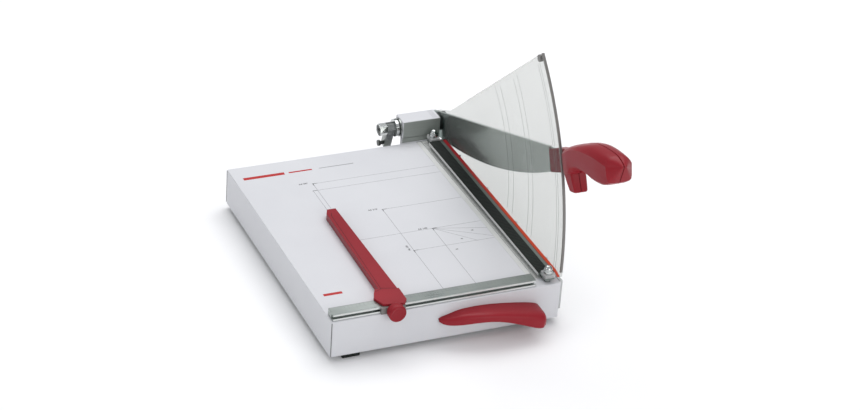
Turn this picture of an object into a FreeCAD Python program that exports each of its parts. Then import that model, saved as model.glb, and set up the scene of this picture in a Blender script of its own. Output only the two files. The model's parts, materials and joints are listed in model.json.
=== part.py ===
"""Guillotine paper cutter with an automatic clamp, a clear guard and a sliding backgauge.

Table frame used by every sub-part before its Placement: X = 0 is the cutting plane and +X points
away from the table, Y = 0 is the paper side of the fence and +Y points to the pivot, Z = 0 is the
table top.  Each Placement then moves the sub-part so that the origin is the middle of the
machine's footprint on the surface it stands on.

Arm frame used by the blade and handle: the pivot axis is the origin, the level arm points to -Y.
"""
import FreeCAD, Part
import math
import os
import re

import Sketcher

NAMED = {
    # where the table frame lies in the machine's own frame
    "origin_x": 141.4, "origin_y": -136.4, "origin_z": 57.0,
    # housing
    "table_left": 304.0, "knife_thick": 4.0, "table_front": 18.4, "table_back": 364.0,
    "table_deep": 49.0, "sheet": 1.5, "corner_radius": 2.5, "edge_radius": 1.2,
    # bed, strips and lower knife
    "plate_edge": 38.0, "land_edge": 22.0, "beam_deep": 24.5, "strip_gap": 0.6,
    "edge_strip_wide": 6.6, "knife_deep": 40.0, "knife_front": 14.0, "knife_back": 361.0,
    # feet
    "foot_side": 22.0, "foot_tall": 8.0, "foot_inset": 29.0,
    # fence rail
    "rail_left": 302.0, "rail_right": 38.0, "rail_wide": 16.5, "rail_tall": 9.0,
    # pivot and bearing block
    "pivot_y": 379.0, "pivot_z": 17.5, "rest_angle": 20.2, "shaft_radius": 7.0, "running_gap": 0.05,
    "bush_radius": 10.0, "bush_long": 12.0, "block_left": 57.0, "block_right": 3.0, "block_side": 25.4,
    "lever_reach": 27.0, "lever_back": 20.0, "spring_top": -15.5,
    # blade, in the arm frame
    "blade_gap": 0.3, "blade_thick": 4.0, "blade_top": 13.3, "blade_long": 347.0, "root_radius": 22.0,
    "tang_long": 120.0, "tang_thick": 2.0, "tang_low": 2.0, "tang_deep": 10.0, "rivet_height": 7.0,
    # handle, in the arm frame
    "grip_start": 395.0, "grip_end": 546.0, "grip_half": 18.5, "fork_half": 10.3,
    # clamp
    "bar_left": 28.0, "bar_right": 4.0, "bar_under": 5.0, "bar_thick": 3.5, "bar_front": 1.0,
    "bar_back": 343.0, "post_x": 18.5, "post_front": 8.0, "post_back": 352.0, "post_radius": 3.6,
    # guard
    "guard_thick": 3.0, "guard_gap": 1.0, "guard_radius": 333.0, "guard_mid_y": 320.2,
    "guard_mid_z": 20.7, "guard_slope": 39.8, "trim_deep": 2.2,
    # backgauge
    "gauge_middle": 225.0, "head_wide": 29.0, "beam_long": 215.0, "gauge_tall": 9.5, "knob_radius": 11.7,
    "knob_thick": 11.0, "screw_radius": 1.2,
    # carry handle
    "carry_thick": 4.5,
}

os.makedirs("parts", exist_ok=True)
doc = FreeCAD.newDocument("paper_cutter")
dims = doc.addObject("Spreadsheet::Sheet", "dims")
for row, (alias, number) in enumerate(NAMED.items(), start=1):
    dims.set("A%d" % row, alias)
    dims.set("B%d" % row, str(number))
    dims.setAlias("B%d" % row, alias)
doc.recompute()

NODES = {}
WORD = re.compile(r"[a-z][a-z_]+")
AXES = {"x": FreeCAD.Vector(1, 0, 0), "y": FreeCAD.Vector(0, 1, 0), "z": FreeCAD.Vector(0, 0, 1)}


def size(alias):
    """A driving dimension, read from the sheet."""
    return float(dims.get(alias))


def bound(text):
    """An expression in which each word is a cell of the sheet."""
    return WORD.sub(lambda word: "dims." + word.group(0), str(text))


def vector(x, y, z):
    """A point or direction."""
    return FreeCAD.Vector(x, y, z)


# ---------------------------------------------------------------- building blocks

def place(obj, corner):
    """Bind the three coordinates of an object's Placement."""
    for letter, text in zip("xyz", corner):
        obj.setExpression("Placement.Base." + letter, bound(text))
    return obj


def box(corner, extent):
    """A box from its lowest corner."""
    obj = doc.addObject("Part::Box", "box")
    for prop, text in zip(("Length", "Width", "Height"), extent):
        obj.setExpression(prop, bound(text))
    return place(obj, corner)


def rod(start, axis, radius, length):
    """A cylinder along +X, +Y or +Z."""
    obj = doc.addObject("Part::Cylinder", "rod")
    obj.setExpression("Radius", bound(radius))
    obj.setExpression("Height", bound(length))
    obj.Placement = FreeCAD.Placement(vector(0, 0, 0), FreeCAD.Rotation(AXES["z"], AXES[axis]))
    return place(obj, start)


def hexagon(start, axis, radius, length):
    """A six-sided prism along +X, +Y or +Z; radius is to its corners."""
    obj = doc.addObject("Part::Prism", "hexagon")
    obj.Polygon = 6
    obj.setExpression("Circumradius", bound(radius))
    obj.setExpression("Height", bound(length))
    obj.Placement = FreeCAD.Placement(vector(0, 0, 0), FreeCAD.Rotation(AXES["z"], AXES[axis]))
    return place(obj, start)


def ball(middle, radius):
    """A sphere."""
    obj = doc.addObject("Part::Sphere", "ball")
    obj.setExpression("Radius", bound(radius))
    return place(obj, middle)


def fuse(*pieces):
    """One shape, or a group of separate solids where the pieces do not touch."""
    obj = doc.addObject("Part::MultiFuse", "fuse")
    obj.Shapes = list(pieces)
    return obj


def cut(base, *tools):
    """A shape with others taken out of it."""
    obj = doc.addObject("Part::Cut", "cut")
    obj.Base = base
    obj.Tool = tools[0] if len(tools) == 1 else fuse(*tools)
    return obj


def common(first, second):
    """What two shapes share."""
    obj = doc.addObject("Part::Common", "common")
    obj.Base = first
    obj.Tool = second
    return obj


def solid(shape):
    """A shape worked out in code from the sheet's values."""
    obj = doc.addObject("Part::Feature", "shape")
    obj.Shape = shape
    return obj


def node(label, obj):
    """Name a table-frame sub-part and move it to the machine's frame."""
    obj.Label = label
    NODES[label] = obj
    base = {letter: "" for letter in "xyz"}
    if obj.TypeId in ("Part::Box", "Part::Cylinder", "Part::Prism"):
        for path, text in obj.ExpressionEngine:
            if path.startswith("Placement.Base."):
                base[path[-1]] = text + " + "
            elif path.startswith(".Placement.Base."):
                base[path[-1]] = text + " + "
    for letter, text in base.items():
        obj.setExpression("Placement.Base." + letter, text + "dims.origin_" + letter)
    return obj


def arm_node(label, obj, angle=None):
    """Name an arm-frame sub-part, tilt it by the resting angle or its own, and put it on the pivot."""
    obj.Label = label
    NODES[label] = obj
    tilt = FreeCAD.Rotation(vector(-1, 0, 0), size("rest_angle") if angle is None else angle)
    obj.Placement = FreeCAD.Placement(vector(0, 0, 0), tilt)
    place(obj, ("origin_x", "pivot_y + origin_y", "pivot_z + origin_z"))
    return obj


def origin_plane(body, role):
    """One of a body's own origin planes."""
    return next(plane for plane in body.Origin.OriginFeatures if plane.Role == role)


def rectangle_sketch(body, name, left, front, wide, deep):
    """A rectangle on the body's XY plane with its place and sides bound to the sheet."""
    sketch = body.newObject("Sketcher::SketchObject", name)
    sketch.AttachmentSupport = (origin_plane(body, "XY_Plane"), [""])
    sketch.MapMode = "FlatFace"
    corners = [vector(-5, -5, 0), vector(5, -5, 0), vector(5, 5, 0), vector(-5, 5, 0)]
    for index, corner in enumerate(corners):
        sketch.addGeometry(Part.LineSegment(corner, corners[(index + 1) % 4]), False)
    for index in range(4):
        sketch.addConstraint(Sketcher.Constraint("Coincident", index, 2, (index + 1) % 4, 1))
    for index, kind in enumerate(("Horizontal", "Vertical", "Horizontal", "Vertical")):
        sketch.addConstraint(Sketcher.Constraint(kind, index))
    settings = (("DistanceX", (0, 1, 0, 2), wide), ("DistanceY", (1, 1, 1, 2), deep),
                ("DistanceX", (-1, 1, 0, 1), left), ("DistanceY", (-1, 1, 0, 1), front))
    for kind, ends, text in settings:
        number = sketch.addConstraint(Sketcher.Constraint(kind, *ends, 10.0))
        sketch.setExpression("Constraints[%d]" % number, bound(text))
    return sketch


def straight_sketch(body, name, role, points):
    """A closed outline of straight lines on one of the body's origin planes."""
    sketch = body.newObject("Sketcher::SketchObject", name)
    sketch.AttachmentSupport = (origin_plane(body, role), [""])
    sketch.MapMode = "FlatFace"
    for index, point in enumerate(points):
        following = points[(index + 1) % len(points)]
        sketch.addGeometry(Part.LineSegment(vector(*point, 0), vector(*following, 0)), False)
    for index in range(len(points)):
        sketch.addConstraint(Sketcher.Constraint("Coincident", index, 2, (index + 1) % len(points), 1))
    return sketch


def pad(body, sketch, length, reverse=False):
    """Raise a sketch by a bound length."""
    feature = body.newObject("PartDesign::Pad", "pad")
    feature.Profile = sketch
    feature.Reversed = reverse
    feature.setExpression("Length", bound(length))
    doc.recompute()
    return feature


def pocket(body, sketch, depth, reverse=False):
    """Sink a sketch by a bound depth, and make sure that it removed something."""
    before = body.Shape.Volume
    feature = body.newObject("PartDesign::Pocket", "pocket")
    feature.Profile = sketch
    feature.Reversed = reverse
    feature.setExpression("Length", bound(depth))
    doc.recompute()
    if body.Shape.Volume >= before:
        raise RuntimeError("a pocket in %s removed nothing" % body.Name)
    return feature


def rounded(body, feature, radius, chosen):
    """Round the edges of a feature that a test picks out."""
    names = ["Edge%d" % (index + 1) for index, edge in enumerate(feature.Shape.Edges) if chosen(edge)]
    fillet = body.newObject("PartDesign::Fillet", "fillet")
    fillet.Base = (feature, names)
    fillet.setExpression("Radius", bound(radius))
    doc.recompute()
    return fillet


def is_upright(edge):
    """Whether an edge runs along Z."""
    return edge.BoundBox.ZLength > 1 and edge.BoundBox.XLength < 0.01 and edge.BoundBox.YLength < 0.01


def outline(points, closed=True):
    """A wire of straight lines through points."""
    return Part.makePolygon(points + points[:1] if closed else points)


def curve(points):
    """A smooth edge through points."""
    spline = Part.BSplineCurve()
    spline.interpolate(points)
    return spline.toShape()


def slab(wire, thickness):
    """A flat outline given a thickness along a vector."""
    return Part.Face(wire).extrude(thickness)


# ---------------------------------------------------------------- table and bed

def make_housing():
    """Folded sheet box, open below, with a window for the bed and a hole for the front post."""
    body = doc.addObject("PartDesign::Body", "housing_body")
    wide = "table_left - knife_thick"
    deep = "table_front + table_back"
    shell = pad(body, rectangle_sketch(body, "outside", "-table_left", "-table_front", wide, deep),
                "table_deep", reverse=True)
    corners = rounded(body, shell, "corner_radius", is_upright)
    rounded(body, corners, "edge_radius",
            lambda edge: edge.BoundBox.ZMin > -0.01 and edge.BoundBox.ZLength < 0.01)
    inside = rectangle_sketch(body, "inside", "-table_left + sheet", "-table_front + sheet",
                              wide + " - 2 * sheet", deep + " - 2 * sheet")
    inside.setExpression("AttachmentOffset.Base.z", bound("-table_deep"))
    pocket(body, inside, "table_deep - sheet", reverse=True)
    window = rectangle_sketch(body, "window", "-plate_edge", "0", "plate_edge - knife_thick - sheet",
                              "table_back + 1")
    pocket(body, window, "sheet")
    post_hole = body.newObject("Sketcher::SketchObject", "post_hole")
    post_hole.AttachmentSupport = (origin_plane(body, "XY_Plane"), [""])
    post_hole.MapMode = "FlatFace"
    middle = vector(-size("post_x"), -size("post_front"), 0)
    post_hole.addGeometry(Part.Circle(middle, AXES["z"], size("post_radius") + 0.5), False)
    for kind, text in (("DistanceX", "-post_x"), ("DistanceY", "-post_front")):
        number = post_hole.addConstraint(Sketcher.Constraint(kind, -1, 1, 0, 3, 10.0))
        post_hole.setExpression("Constraints[%d]" % number, bound(text))
    number = post_hole.addConstraint(Sketcher.Constraint("Radius", 0, 4.0))
    post_hole.setExpression("Constraints[%d]" % number, bound("post_radius + 0.5"))
    pocket(body, post_hole, "2 * sheet")
    node("housing", body)


def make_under_table():
    """Bottom sheet, the channels under the table top and the feet."""
    node("base_plate", box(("-table_left + sheet", "-table_front + sheet", "-table_deep"),
                           ("table_left - knife_thick - 2 * sheet", "table_front + table_back - 2 * sheet",
                            "1.2")))
    channels = []
    for front in ("75", "230"):
        block = box(("-285", front, "-sheet - 18"), ("225", "40", "18"))
        hollow = box(("-286", front + " + sheet", "-sheet - 18 + sheet"), ("227", "40 - 2 * sheet", "18"))
        channels.append(cut(block, hollow))
    node("stiffener_channels", fuse(*channels))
    feet = []
    screws = []
    for x in ("-table_left + foot_inset", "-knife_thick - foot_inset"):
        for y in ("-table_front + foot_inset - 13", "table_back - foot_inset + 9"):
            foot = box((x + " - foot_side / 2", y + " - foot_side / 2", "-table_deep - foot_tall"),
                       ("foot_side", "foot_side", "foot_tall"))
            feet.append(cut(foot, rod((x, y, "-table_deep - foot_tall - 1"), "z", "4", "5")))
            screws.append(rod((x, y, "-table_deep - foot_tall + 2.4"), "z", "4", "1.6"))
    node("rubber_feet", fuse(*feet))
    node("foot_screws", fuse(*screws))


def make_bed():
    """Bar under the clamp, the two strips laid in it and the lower knife with its screws."""
    body = doc.addObject("PartDesign::Body", "beam_body")
    wide = "plate_edge - knife_thick - sheet - 0.2"
    base = rectangle_sketch(body, "bar", "-plate_edge", "-table_front + sheet + 0.2", wide,
                            "table_front + table_back - 2 * sheet - 0.4")
    base.setExpression("AttachmentOffset.Base.z", bound("-sheet"))
    pad(body, base, "beam_deep", reverse=True)
    land = rectangle_sketch(body, "land", "-land_edge", "0.2", "land_edge - knife_thick - sheet - 0.2",
                            "table_back - sheet - 0.4")
    land.setExpression("AttachmentOffset.Base.z", bound("-sheet"))
    pad(body, land, "sheet")
    bores = [rod(("-post_x", y, "-beam_deep - 2 * sheet"), "z", "post_radius + running_gap",
                 "beam_deep + 4 * sheet") for y in ("-post_front", "post_back")]
    node("bed_beam", cut(body, *bores))
    node("edge_strip", box(("-plate_edge + 0.2", "0.2", "-sheet"),
                           ("edge_strip_wide", "table_back - sheet - 0.4", "sheet")))
    node("rule_strip", box(("-plate_edge + 0.2 + edge_strip_wide + strip_gap", "0.2", "-sheet"),
                           ("plate_edge - land_edge - edge_strip_wide - strip_gap - 0.4",
                            "table_back - sheet - 0.4", "sheet")))
    knife = box(("-knife_thick", "-knife_front", "-knife_deep"),
                ("knife_thick", "knife_front + knife_back", "knife_deep"))
    seats = []
    screws = []
    for step in range(5):
        y = "%g" % (15 + 82 * step)
        seats.append(rod(("-knife_thick - 1", y, "-14"), "x", "3", "knife_thick + 2"))
        seats.append(rod(("-2.2", y, "-14"), "x", "5.5", "3"))
        screws.append(fuse(rod(("-knife_thick", y, "-14"), "x", "3", "knife_thick - 2.2"),
                           rod(("-2.2", y, "-14"), "x", "5.5", "2")))
    node("lower_knife", cut(knife, *seats))
    node("knife_screws", fuse(*screws))


def make_rail():
    """Fence profile with a T slot in its front face, and the screw heads below the table that hold it."""
    front = -size("rail_wide")
    tall = size("rail_tall")
    slot = [(front, 3.0), (front + 2, 3.0), (front + 2, 1.2), (front + 5.5, 1.2),
            (front + 5.5, 7.8), (front + 2, 7.8), (front + 2, 6.0), (front, 6.0)]
    profile = [(front, 0.0)] + slot + [(front, tall), (0.0, tall), (0.0, 0.0)]
    body = doc.addObject("PartDesign::Body", "rail_body")
    sketch = straight_sketch(body, "rail_profile", "YZ_Plane", profile)
    sketch.setExpression("AttachmentOffset.Base.z", bound("-rail_left"))
    pad(body, sketch, "rail_left - rail_right")
    node("fence_rail", body)
    screws = [rod((x, "-8", "-sheet - 1.7"), "z", "3.4", "1.7") for x in ("-285", "-165", "-52")]
    node("rail_screws", fuse(*screws))


CARRY_STATIONS = (
    # along X, top at the wall, reach from the wall, lowest point of the lip
    (-166.0, -19.9, 4.0, -23.4), (-162.0, -18.4, 7.5, -25.2), (-154.0, -16.4, 12.0, -26.0),
    (-140.0, -12.8, 17.0, -25.0), (-120.0, -11.5, 22.0, -22.8), (-102.0, -12.1, 25.0, -23.0),
    (-84.0, -13.9, 27.0, -26.5), (-64.0, -16.7, 29.0, -33.0), (-48.0, -19.6, 30.0, -39.0),
    (-38.0, -22.4, 29.5, -41.0), (-34.0, -24.6, 27.0, -39.0),
)


def carry_section(x, wall_top, reach, lowest):
    """Closed section of the carry handle: a level shelf from the housing front that turns down to a lip."""
    wall = -size("table_front")
    thick = size("carry_thick")
    out = wall - reach
    drop = wall_top - lowest
    over = [(0.0, 0.0), (0.45 * reach, 0.0), (0.86 * reach, 0.12 * drop), (reach, 0.50 * drop),
            (0.95 * reach, drop)]
    top = [vector(x, wall - away, wall_top - down) for away, down in over]
    deep = min(thick, 0.6 * drop)
    inward = min(thick, 0.5 * reach)
    under = [vector(x, out + 0.05 * reach + 0.7 * inward, lowest),
             vector(x, out + inward, wall_top - 0.6 * drop),
             vector(x, wall - 0.45 * (reach - inward), wall_top - deep), vector(x, wall, wall_top - deep)]
    edges = [curve(top), Part.makeLine(top[-1], under[0]), curve(under), Part.makeLine(under[-1], top[0])]
    return Part.Wire(edges)


def make_carry_handle():
    """Moulded grip on the housing front: narrow at its left tip, deep at its right end."""
    sections = [carry_section(*station) for station in CARRY_STATIONS]
    node("carry_handle", solid(Part.makeLoft(sections, True, False)))
    screws = [rod((x, "-table_front + sheet", "-20"), "y", "4", "3") for x in ("-135", "-50")]
    node("carry_handle_screws", fuse(*screws))


# ---------------------------------------------------------------- pivot

def make_bearing():
    """Block behind the table with two bushes, its screws, and the spring's anchor."""
    half = "block_side / 2"
    wide = "block_left - block_right"
    head = box(("-block_left", "pivot_y - " + half, "pivot_z - " + half), (wide, "block_side", "block_side"))
    foot = box(("-block_left", "table_back", "-38"), (wide, "9", "38 + pivot_z - " + half))
    neck = box(("-block_left", "table_back", "pivot_z - " + half),
               (wide, "pivot_y - table_back - " + half, "6"))
    block = fuse(head, foot, neck)
    bore = rod(("-block_left - 1", "pivot_y", "pivot_z"), "x", "shaft_radius + 1", wide + " + 2")
    seats = []
    bushes = []
    for start in ("-block_left", "-block_right - bush_long"):
        seats.append(rod((start, "pivot_y", "pivot_z"), "x", "bush_radius", "bush_long"))
        ring = rod((start, "pivot_y", "pivot_z"), "x", "bush_radius", "bush_long")
        hole = rod((start + " - 1", "pivot_y", "pivot_z"), "x", "shaft_radius + running_gap",
                   "bush_long + 2")
        bushes.append(cut(ring, hole))
    screws = []
    for x in ("-block_left + 9", "-block_right - 9"):
        for z in ("-9", "-29"):
            screws.append(hexagon((x, "table_back + 9", z), "y", "5.8", "4"))
    node("bearing_block", cut(block, bore, *seats))
    node("shaft_bushes", fuse(*bushes))
    node("block_screws", fuse(*screws))
    plate = box(("-86", "table_back", "-46"), ("18", "2", "16"))
    shelf = box(("-86", "table_back", "-46"), ("18", "30", "2"))
    eye = rod(("-78", "388.2", "-47"), "z", "1.4", "4")
    node("spring_anchor", cut(fuse(plate, shelf), eye))


def spring_sleeve(x, y, low, high, radius, wire):
    """The space that a coil spring's wire fills, between two heights: a sleeve one wire thick."""
    outside = rod((x, y, low), "z", radius, "%s - (%s)" % (high, low))
    inside = rod((x, y, "%s - 1" % low), "z", "%s - %s" % (radius, wire), "%s - (%s) + 2" % (high, low))
    return cut(outside, inside)


def make_return_spring():
    """Tension spring between the lever's pin and the anchor, wound clear of the lever's swing."""
    hook_y = size("pivot_y") + size("lever_reach") * math.sin(math.radians(size("lever_back")))
    node("return_spring", spring_sleeve("-78", "%.2f" % hook_y, "-44", "spring_top", "4.8", "1.4"))


def shaft_ring(label, start, radius, length):
    """A washer on the shaft, beyond the block's left face."""
    ring = rod((start, "0", "0"), "x", radius, length)
    hole = rod((start + " - 1", "0", "0"), "x", "shaft_radius", length + " + 2")
    arm_node(label, cut(ring, hole))


def make_shaft():
    """Pivot bolt with what is stacked on its left end, and the spacer beside the blade."""
    blade_face = "blade_gap + blade_thick"
    shank = rod(("-86", "0", "0"), "x", "shaft_radius", "86 + " + blade_face)
    head = rod((blade_face, "0", "0"), "x", "13", "5")
    socket = hexagon((blade_face + " + 2", "0", "0"), "x", "5", "4")
    mark = rod(("-87", "0", "0"), "x", "2.2", "5")
    arm_node("pivot_bolt", cut(fuse(shank, head), socket, mark))
    shaft_ring("thrust_washer", "-block_left - 2.2", "12.5", "1.8")
    shaft_ring("disc_spring", "-block_left - 4.2", "11", "2")
    shaft_ring("chrome_washer", "-block_left - 8.2", "12", "4")
    sleeve = hexagon(("-76", "0", "0"), "x", "8.6", "76 - block_left - 8.2")
    nut = hexagon(("-87", "0", "0"), "x", "8.6", "11")
    arm_node("shaft_nut", cut(nut, rod(("-88", "0", "0"), "x", "shaft_radius", "13")))
    lever = box(("-76", "-5", "-lever_reach - 4"), ("76 - block_left - 8.2", "10", "lever_reach - 1"))
    pin_hole = rod(("-77", "0", "-lever_reach"), "x", "2.5", "20")
    bore = rod(("-77", "0", "0"), "x", "shaft_radius", "20")
    arm_node("shaft_lever", cut(fuse(sleeve, lever), pin_hole, bore), -size("lever_back"))
    shank = rod(("-80", "0", "-lever_reach"), "x", "2.5", "80 - block_left - 8.2")
    collar = rod(("-83", "0", "-lever_reach"), "x", "4", "3")
    arm_node("spring_pin", fuse(shank, collar), -size("lever_back"))
    spacer = rod(("-block_right + 0.4", "0", "0"), "x", "12", "block_right - 0.4 + blade_gap")
    arm_node("arm_spacer", cut(spacer, rod(("-block_right", "0", "0"), "x", "shaft_radius", "10")))


# ---------------------------------------------------------------- blade and handle

def belly(reach):
    """Height of the cutting edge at a distance from the pivot."""
    return -37.0 + 0.000552 * (reach - 165.0) ** 2


def arm_point(x, reach, height):
    """A point of the arm frame from its distance along the arm."""
    return vector(x, -reach, height)


def make_blade():
    """Curved blade with a round root on the shaft and a thin tang inside the handle."""
    left = size("blade_gap")
    top = size("blade_top")
    root = size("root_radius")
    end = size("blade_long")
    back = math.sqrt(root ** 2 - top ** 2)
    steps = [5 + (end - 5) * step / 6 for step in range(7)]
    edge = curve([arm_point(left, reach, belly(reach)) for reach in steps])
    under = arm_point(left, 0, -root)
    rear = Part.Arc(under, arm_point(left, -root, 0), arm_point(left, -back, top)).toShape()
    wire = Part.Wire([Part.makeLine(arm_point(left, end, belly(end)), arm_point(left, end, top)),
                      Part.makeLine(arm_point(left, end, top), arm_point(left, -back, top)),
                      rear, Part.makeLine(under, arm_point(left, 5, belly(5))), edge])
    steel = slab(wire, vector(size("blade_thick"), 0, 0))
    tang_left = left + size("blade_thick") - size("tang_thick")
    tang = Part.makeBox(size("tang_thick"), size("tang_long"), size("tang_deep"),
                        vector(tang_left, -end - size("tang_long"), size("tang_low")))
    steel = steel.fuse(tang)
    steel = steel.cut(Part.makeCylinder(size("shaft_radius"), 20, vector(-5, 0, 0), AXES["x"]))
    pins = []
    for reach, height in PIN_SPOTS:
        hole = Part.makeCylinder(PIN_RADIUS, 20, arm_point(-5, reach, height), AXES["x"])
        steel = steel.cut(hole)
        start = arm_point(left, reach, height)
        pins.append(Part.makeCylinder(PIN_RADIUS, size("blade_thick"), start, AXES["x"]))
    for reach in RIVET_REACH:
        spot = arm_point(-5, reach, size("rivet_height"))
        steel = steel.cut(Part.makeCylinder(RIVET_RADIUS, 20, spot, AXES["x"]))
    arm_node("blade", solid(steel.removeSplitter()))
    arm_node("blade_pins", solid(Part.makeCompound(pins)))


PIN_SPOTS = ((206.0, 1.0), (206.0, -5.0), (288.0, 2.5), (288.0, -4.0))
PIN_RADIUS = 1.6
RIVET_REACH = (420.0, 455.0)
RIVET_RADIUS = 2.5


def grip_profile():
    """Side outline of the grip, from its flat rear face over the top to the underside."""
    start = size("grip_start")
    tip = size("grip_end")
    over = [(start, 15.5), (425, 25.0), (460, 31.5), (500, 34.5), (528, 29.5), (tip, 18.0),
            (540, 4.5), (528, -5.0), (510, -8.0), (490, -6.5), (468, -1.0), (445, 0.5), (428, -4.0)]
    rest = [(426, -14.0), (start + 4, -14.0), (start, -15.0)]
    return over, rest


def side_wire(x):
    """The grip's side outline as a wire in the plane at x."""
    over, rest = grip_profile()
    over_points = [arm_point(x, *point) for point in over]
    rest_points = [arm_point(x, *point) for point in rest]
    lines = [Part.makeLine(first, second) for first, second
             in zip([over_points[-1]] + rest_points, rest_points + [over_points[0]])]
    return Part.Wire([curve(over_points)] + lines)


def plan_wire(middle, low):
    """The grip's outline from above, the same on both sides of the blade's middle plane."""
    half = size("grip_half")
    start = size("grip_start")
    tip = size("grip_end") + 1.0
    shape = [(start, 2.6), (start + 6, 0.55 * half), (start + 20, 0.87 * half), (start + 42, half),
             (start + 105, half), (start + 134, 0.80 * half), (tip - 2, 0.36 * half)]
    near = [vector(middle - wide, -reach, low) for reach, wide in shape]
    far = [vector(middle + wide, -reach, low) for reach, wide in reversed(shape)]
    nose = vector(middle, -tip, low)
    back = Part.makeLine(far[-1], near[0])
    return Part.Wire([curve(near + [nose] + far), back])


def make_handle():
    """Two moulded shells split on the blade's middle plane, with the finger fork and the bolster."""
    split = size("blade_gap") + size("blade_thick") - size("tang_thick")
    wide = 60.0
    sides = slab(side_wire(split - wide / 2), vector(wide, 0, 0))
    plan = slab(plan_wire(split, -60.0), vector(0, 0, 120))
    grip = sides.common(plan)
    half = size("fork_half")
    fork_outline = [(401, -8), (412, -32.5), (427, -32.5), (421, -8)]
    fork_wire = outline([arm_point(split - half, *point) for point in fork_outline])
    grip = grip.fuse(slab(fork_wire, vector(2 * half, 0, 0)))
    end = size("blade_long")
    start = size("grip_start")
    bolster_outline = [(end, 10), (end + 24, 14.2), (start + 1, 15.6), (start + 1, -15), (end + 32, -15.5),
                       (end + 2, -19.5)]
    left_wire = outline([arm_point(size("blade_gap") + 0.3, *point) for point in bolster_outline])
    right_wire = outline([arm_point(split, *point) for point in bolster_outline])
    left_plate = slab(left_wire, vector(split - size("blade_gap") - 0.3, 0, 0))
    right_block = slab(right_wire, vector(10, 0, 0))
    whole_left = Part.makeBox(60, 400, 200, vector(split - 60, -700, -100))
    whole_right = Part.makeBox(60, 400, 200, vector(split, -700, -100))
    tang_room = Part.makeBox(size("tang_thick"), size("tang_long"), size("tang_deep"),
                             vector(split, -end - size("tang_long"), size("tang_low")))
    left = grip.common(whole_left).fuse(left_plate)
    right = grip.common(whole_right).fuse(right_block).cut(tang_room)
    rivets = []
    for reach in RIVET_REACH:
        spot = arm_point(split - 5, reach, size("rivet_height"))
        rivet = Part.makeCylinder(RIVET_RADIUS, 12, spot, AXES["x"])
        left = left.cut(rivet)
        right = right.cut(rivet)
        rivets.append(rivet)
    screws = []
    for reach, height in ((438.0, 20.0), (520.0, 12.0), (418.0, -22.0)):
        screw = Part.makeCylinder(2.8, 60, arm_point(split + 4, reach, height), AXES["x"])
        head = right.common(screw)
        shortened = Part.makeCylinder(2.8, 60, arm_point(head.BoundBox.XMax - 0.8, reach, height), AXES["x"])
        right = right.cut(screw)
        screws.append(head.cut(shortened).Solids[0])
    arm_node("handle_left_shell", solid(left.removeSplitter()))
    arm_node("handle_right_shell", solid(right.removeSplitter()))
    arm_node("tang_rivets", solid(Part.makeCompound(rivets)))
    arm_node("handle_screws", solid(Part.makeCompound(screws)))


# ---------------------------------------------------------------- clamp and guard

def make_clamp_bar():
    """Clamp bar with a lug at each end, its black grip strip and its red sighting strip."""
    under = "bar_under"
    top = "bar_under + bar_thick"
    wide = "bar_left - bar_right"
    long = "bar_front + bar_back"
    bar = box(("-bar_left", "-bar_front", under), (wide, long, "bar_thick"))
    front_lug = box(("-post_x - 6.5", "-post_front - 7", under), ("13", "post_front + 7", "2"))
    back_lug = box(("-post_x - 6.5", "bar_back - 1", under), ("13", "post_back - bar_back + 8", "2"))
    holes = [rod(("-post_x", y, under + " - 1"), "z", "post_radius", "bar_thick + 2")
             for y in ("-post_front", "post_back")]
    node("clamp_bar", cut(fuse(bar, front_lug, back_lug), *holes))
    node("grip_strip", box(("-bar_left", "-bar_front", top), ("12", long, "1")))
    node("red_line_strip", box(("-bar_right - 4.2", "-bar_front", top), ("4.2", long, "0.6")))
    blocks = []
    for low, y, deep in (("-post_front - 7", "-post_front", "post_front + 7 - bar_front"),
                         ("bar_back", "post_back", "post_back - bar_back + 7")):
        block = box(("-post_x - 6.5", low, "bar_under + 2"), ("13", deep, "4.5"))
        blocks.append(cut(block, rod(("-post_x", y, under), "z", "post_radius", "12")))
    node("end_blocks", fuse(*blocks))


def make_posts():
    """Posts that guide the clamp through the bed, their cap nuts, and the yoke and springs below."""
    posts = []
    caps = []
    nuts = []
    yoke_holes = []
    for y in ("-post_front", "post_back"):
        posts.append(rod(("-post_x", y, "-41"), "z", "post_radius", "41 + 16"))
        skirt = rod(("-post_x", y, "11.6"), "z", "6.4", "5.4")
        dome = common(ball(("-post_x", y, "16"), "5.6"), rod(("-post_x", y, "17"), "z", "6", "6"))
        caps.append(cut(fuse(skirt, dome), rod(("-post_x", y, "10"), "z", "post_radius", "6")))
        yoke_holes.append(rod(("-post_x", y, "-40"), "z", "post_radius", "12"))
        nut = hexagon(("-post_x", y, "-40"), "z", "6.6", "3")
        nuts.append(cut(nut, rod(("-post_x", y, "-41"), "z", "post_radius", "6")))
    node("guide_posts", fuse(*posts))
    node("cap_nuts", fuse(*caps))
    yoke = box(("-post_x - 9.5", "-post_front - 6", "-37"), ("19", "post_front + post_back + 14", "4"))
    node("clamp_yoke", cut(yoke, *yoke_holes))
    node("yoke_nuts", fuse(*nuts))
    coils = []
    for y in ("-post_front", "post_back"):
        coils.append(spring_sleeve("-post_x", y, "-47.6", "-37.2", "8.8", "1.2"))
    node("post_springs", fuse(*coils))


def guard_points():
    """Corners of the guard: front foot, middle of the arc, top corner, and where the tail begins."""
    middle_y = size("guard_mid_y")
    middle_z = size("guard_mid_z")
    radius = size("guard_radius")
    low = size("bar_under")
    foot_y = middle_y - math.sqrt(radius ** 2 - (middle_z - low) ** 2)
    top_z = 261.0
    top_y = middle_y - math.sqrt(radius ** 2 - (top_z - middle_z) ** 2)
    mid_angle = math.atan2(top_z - middle_z, middle_y - top_y) / 2
    mid = (middle_y - radius * math.cos(mid_angle), middle_z + radius * math.sin(mid_angle))
    slope = math.tan(math.radians(size("guard_slope")))
    rear_y = 336.0
    rear_z = top_z - (rear_y - top_y) * slope
    return (foot_y, low), mid, (top_y, top_z), (rear_y, rear_z)


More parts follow.
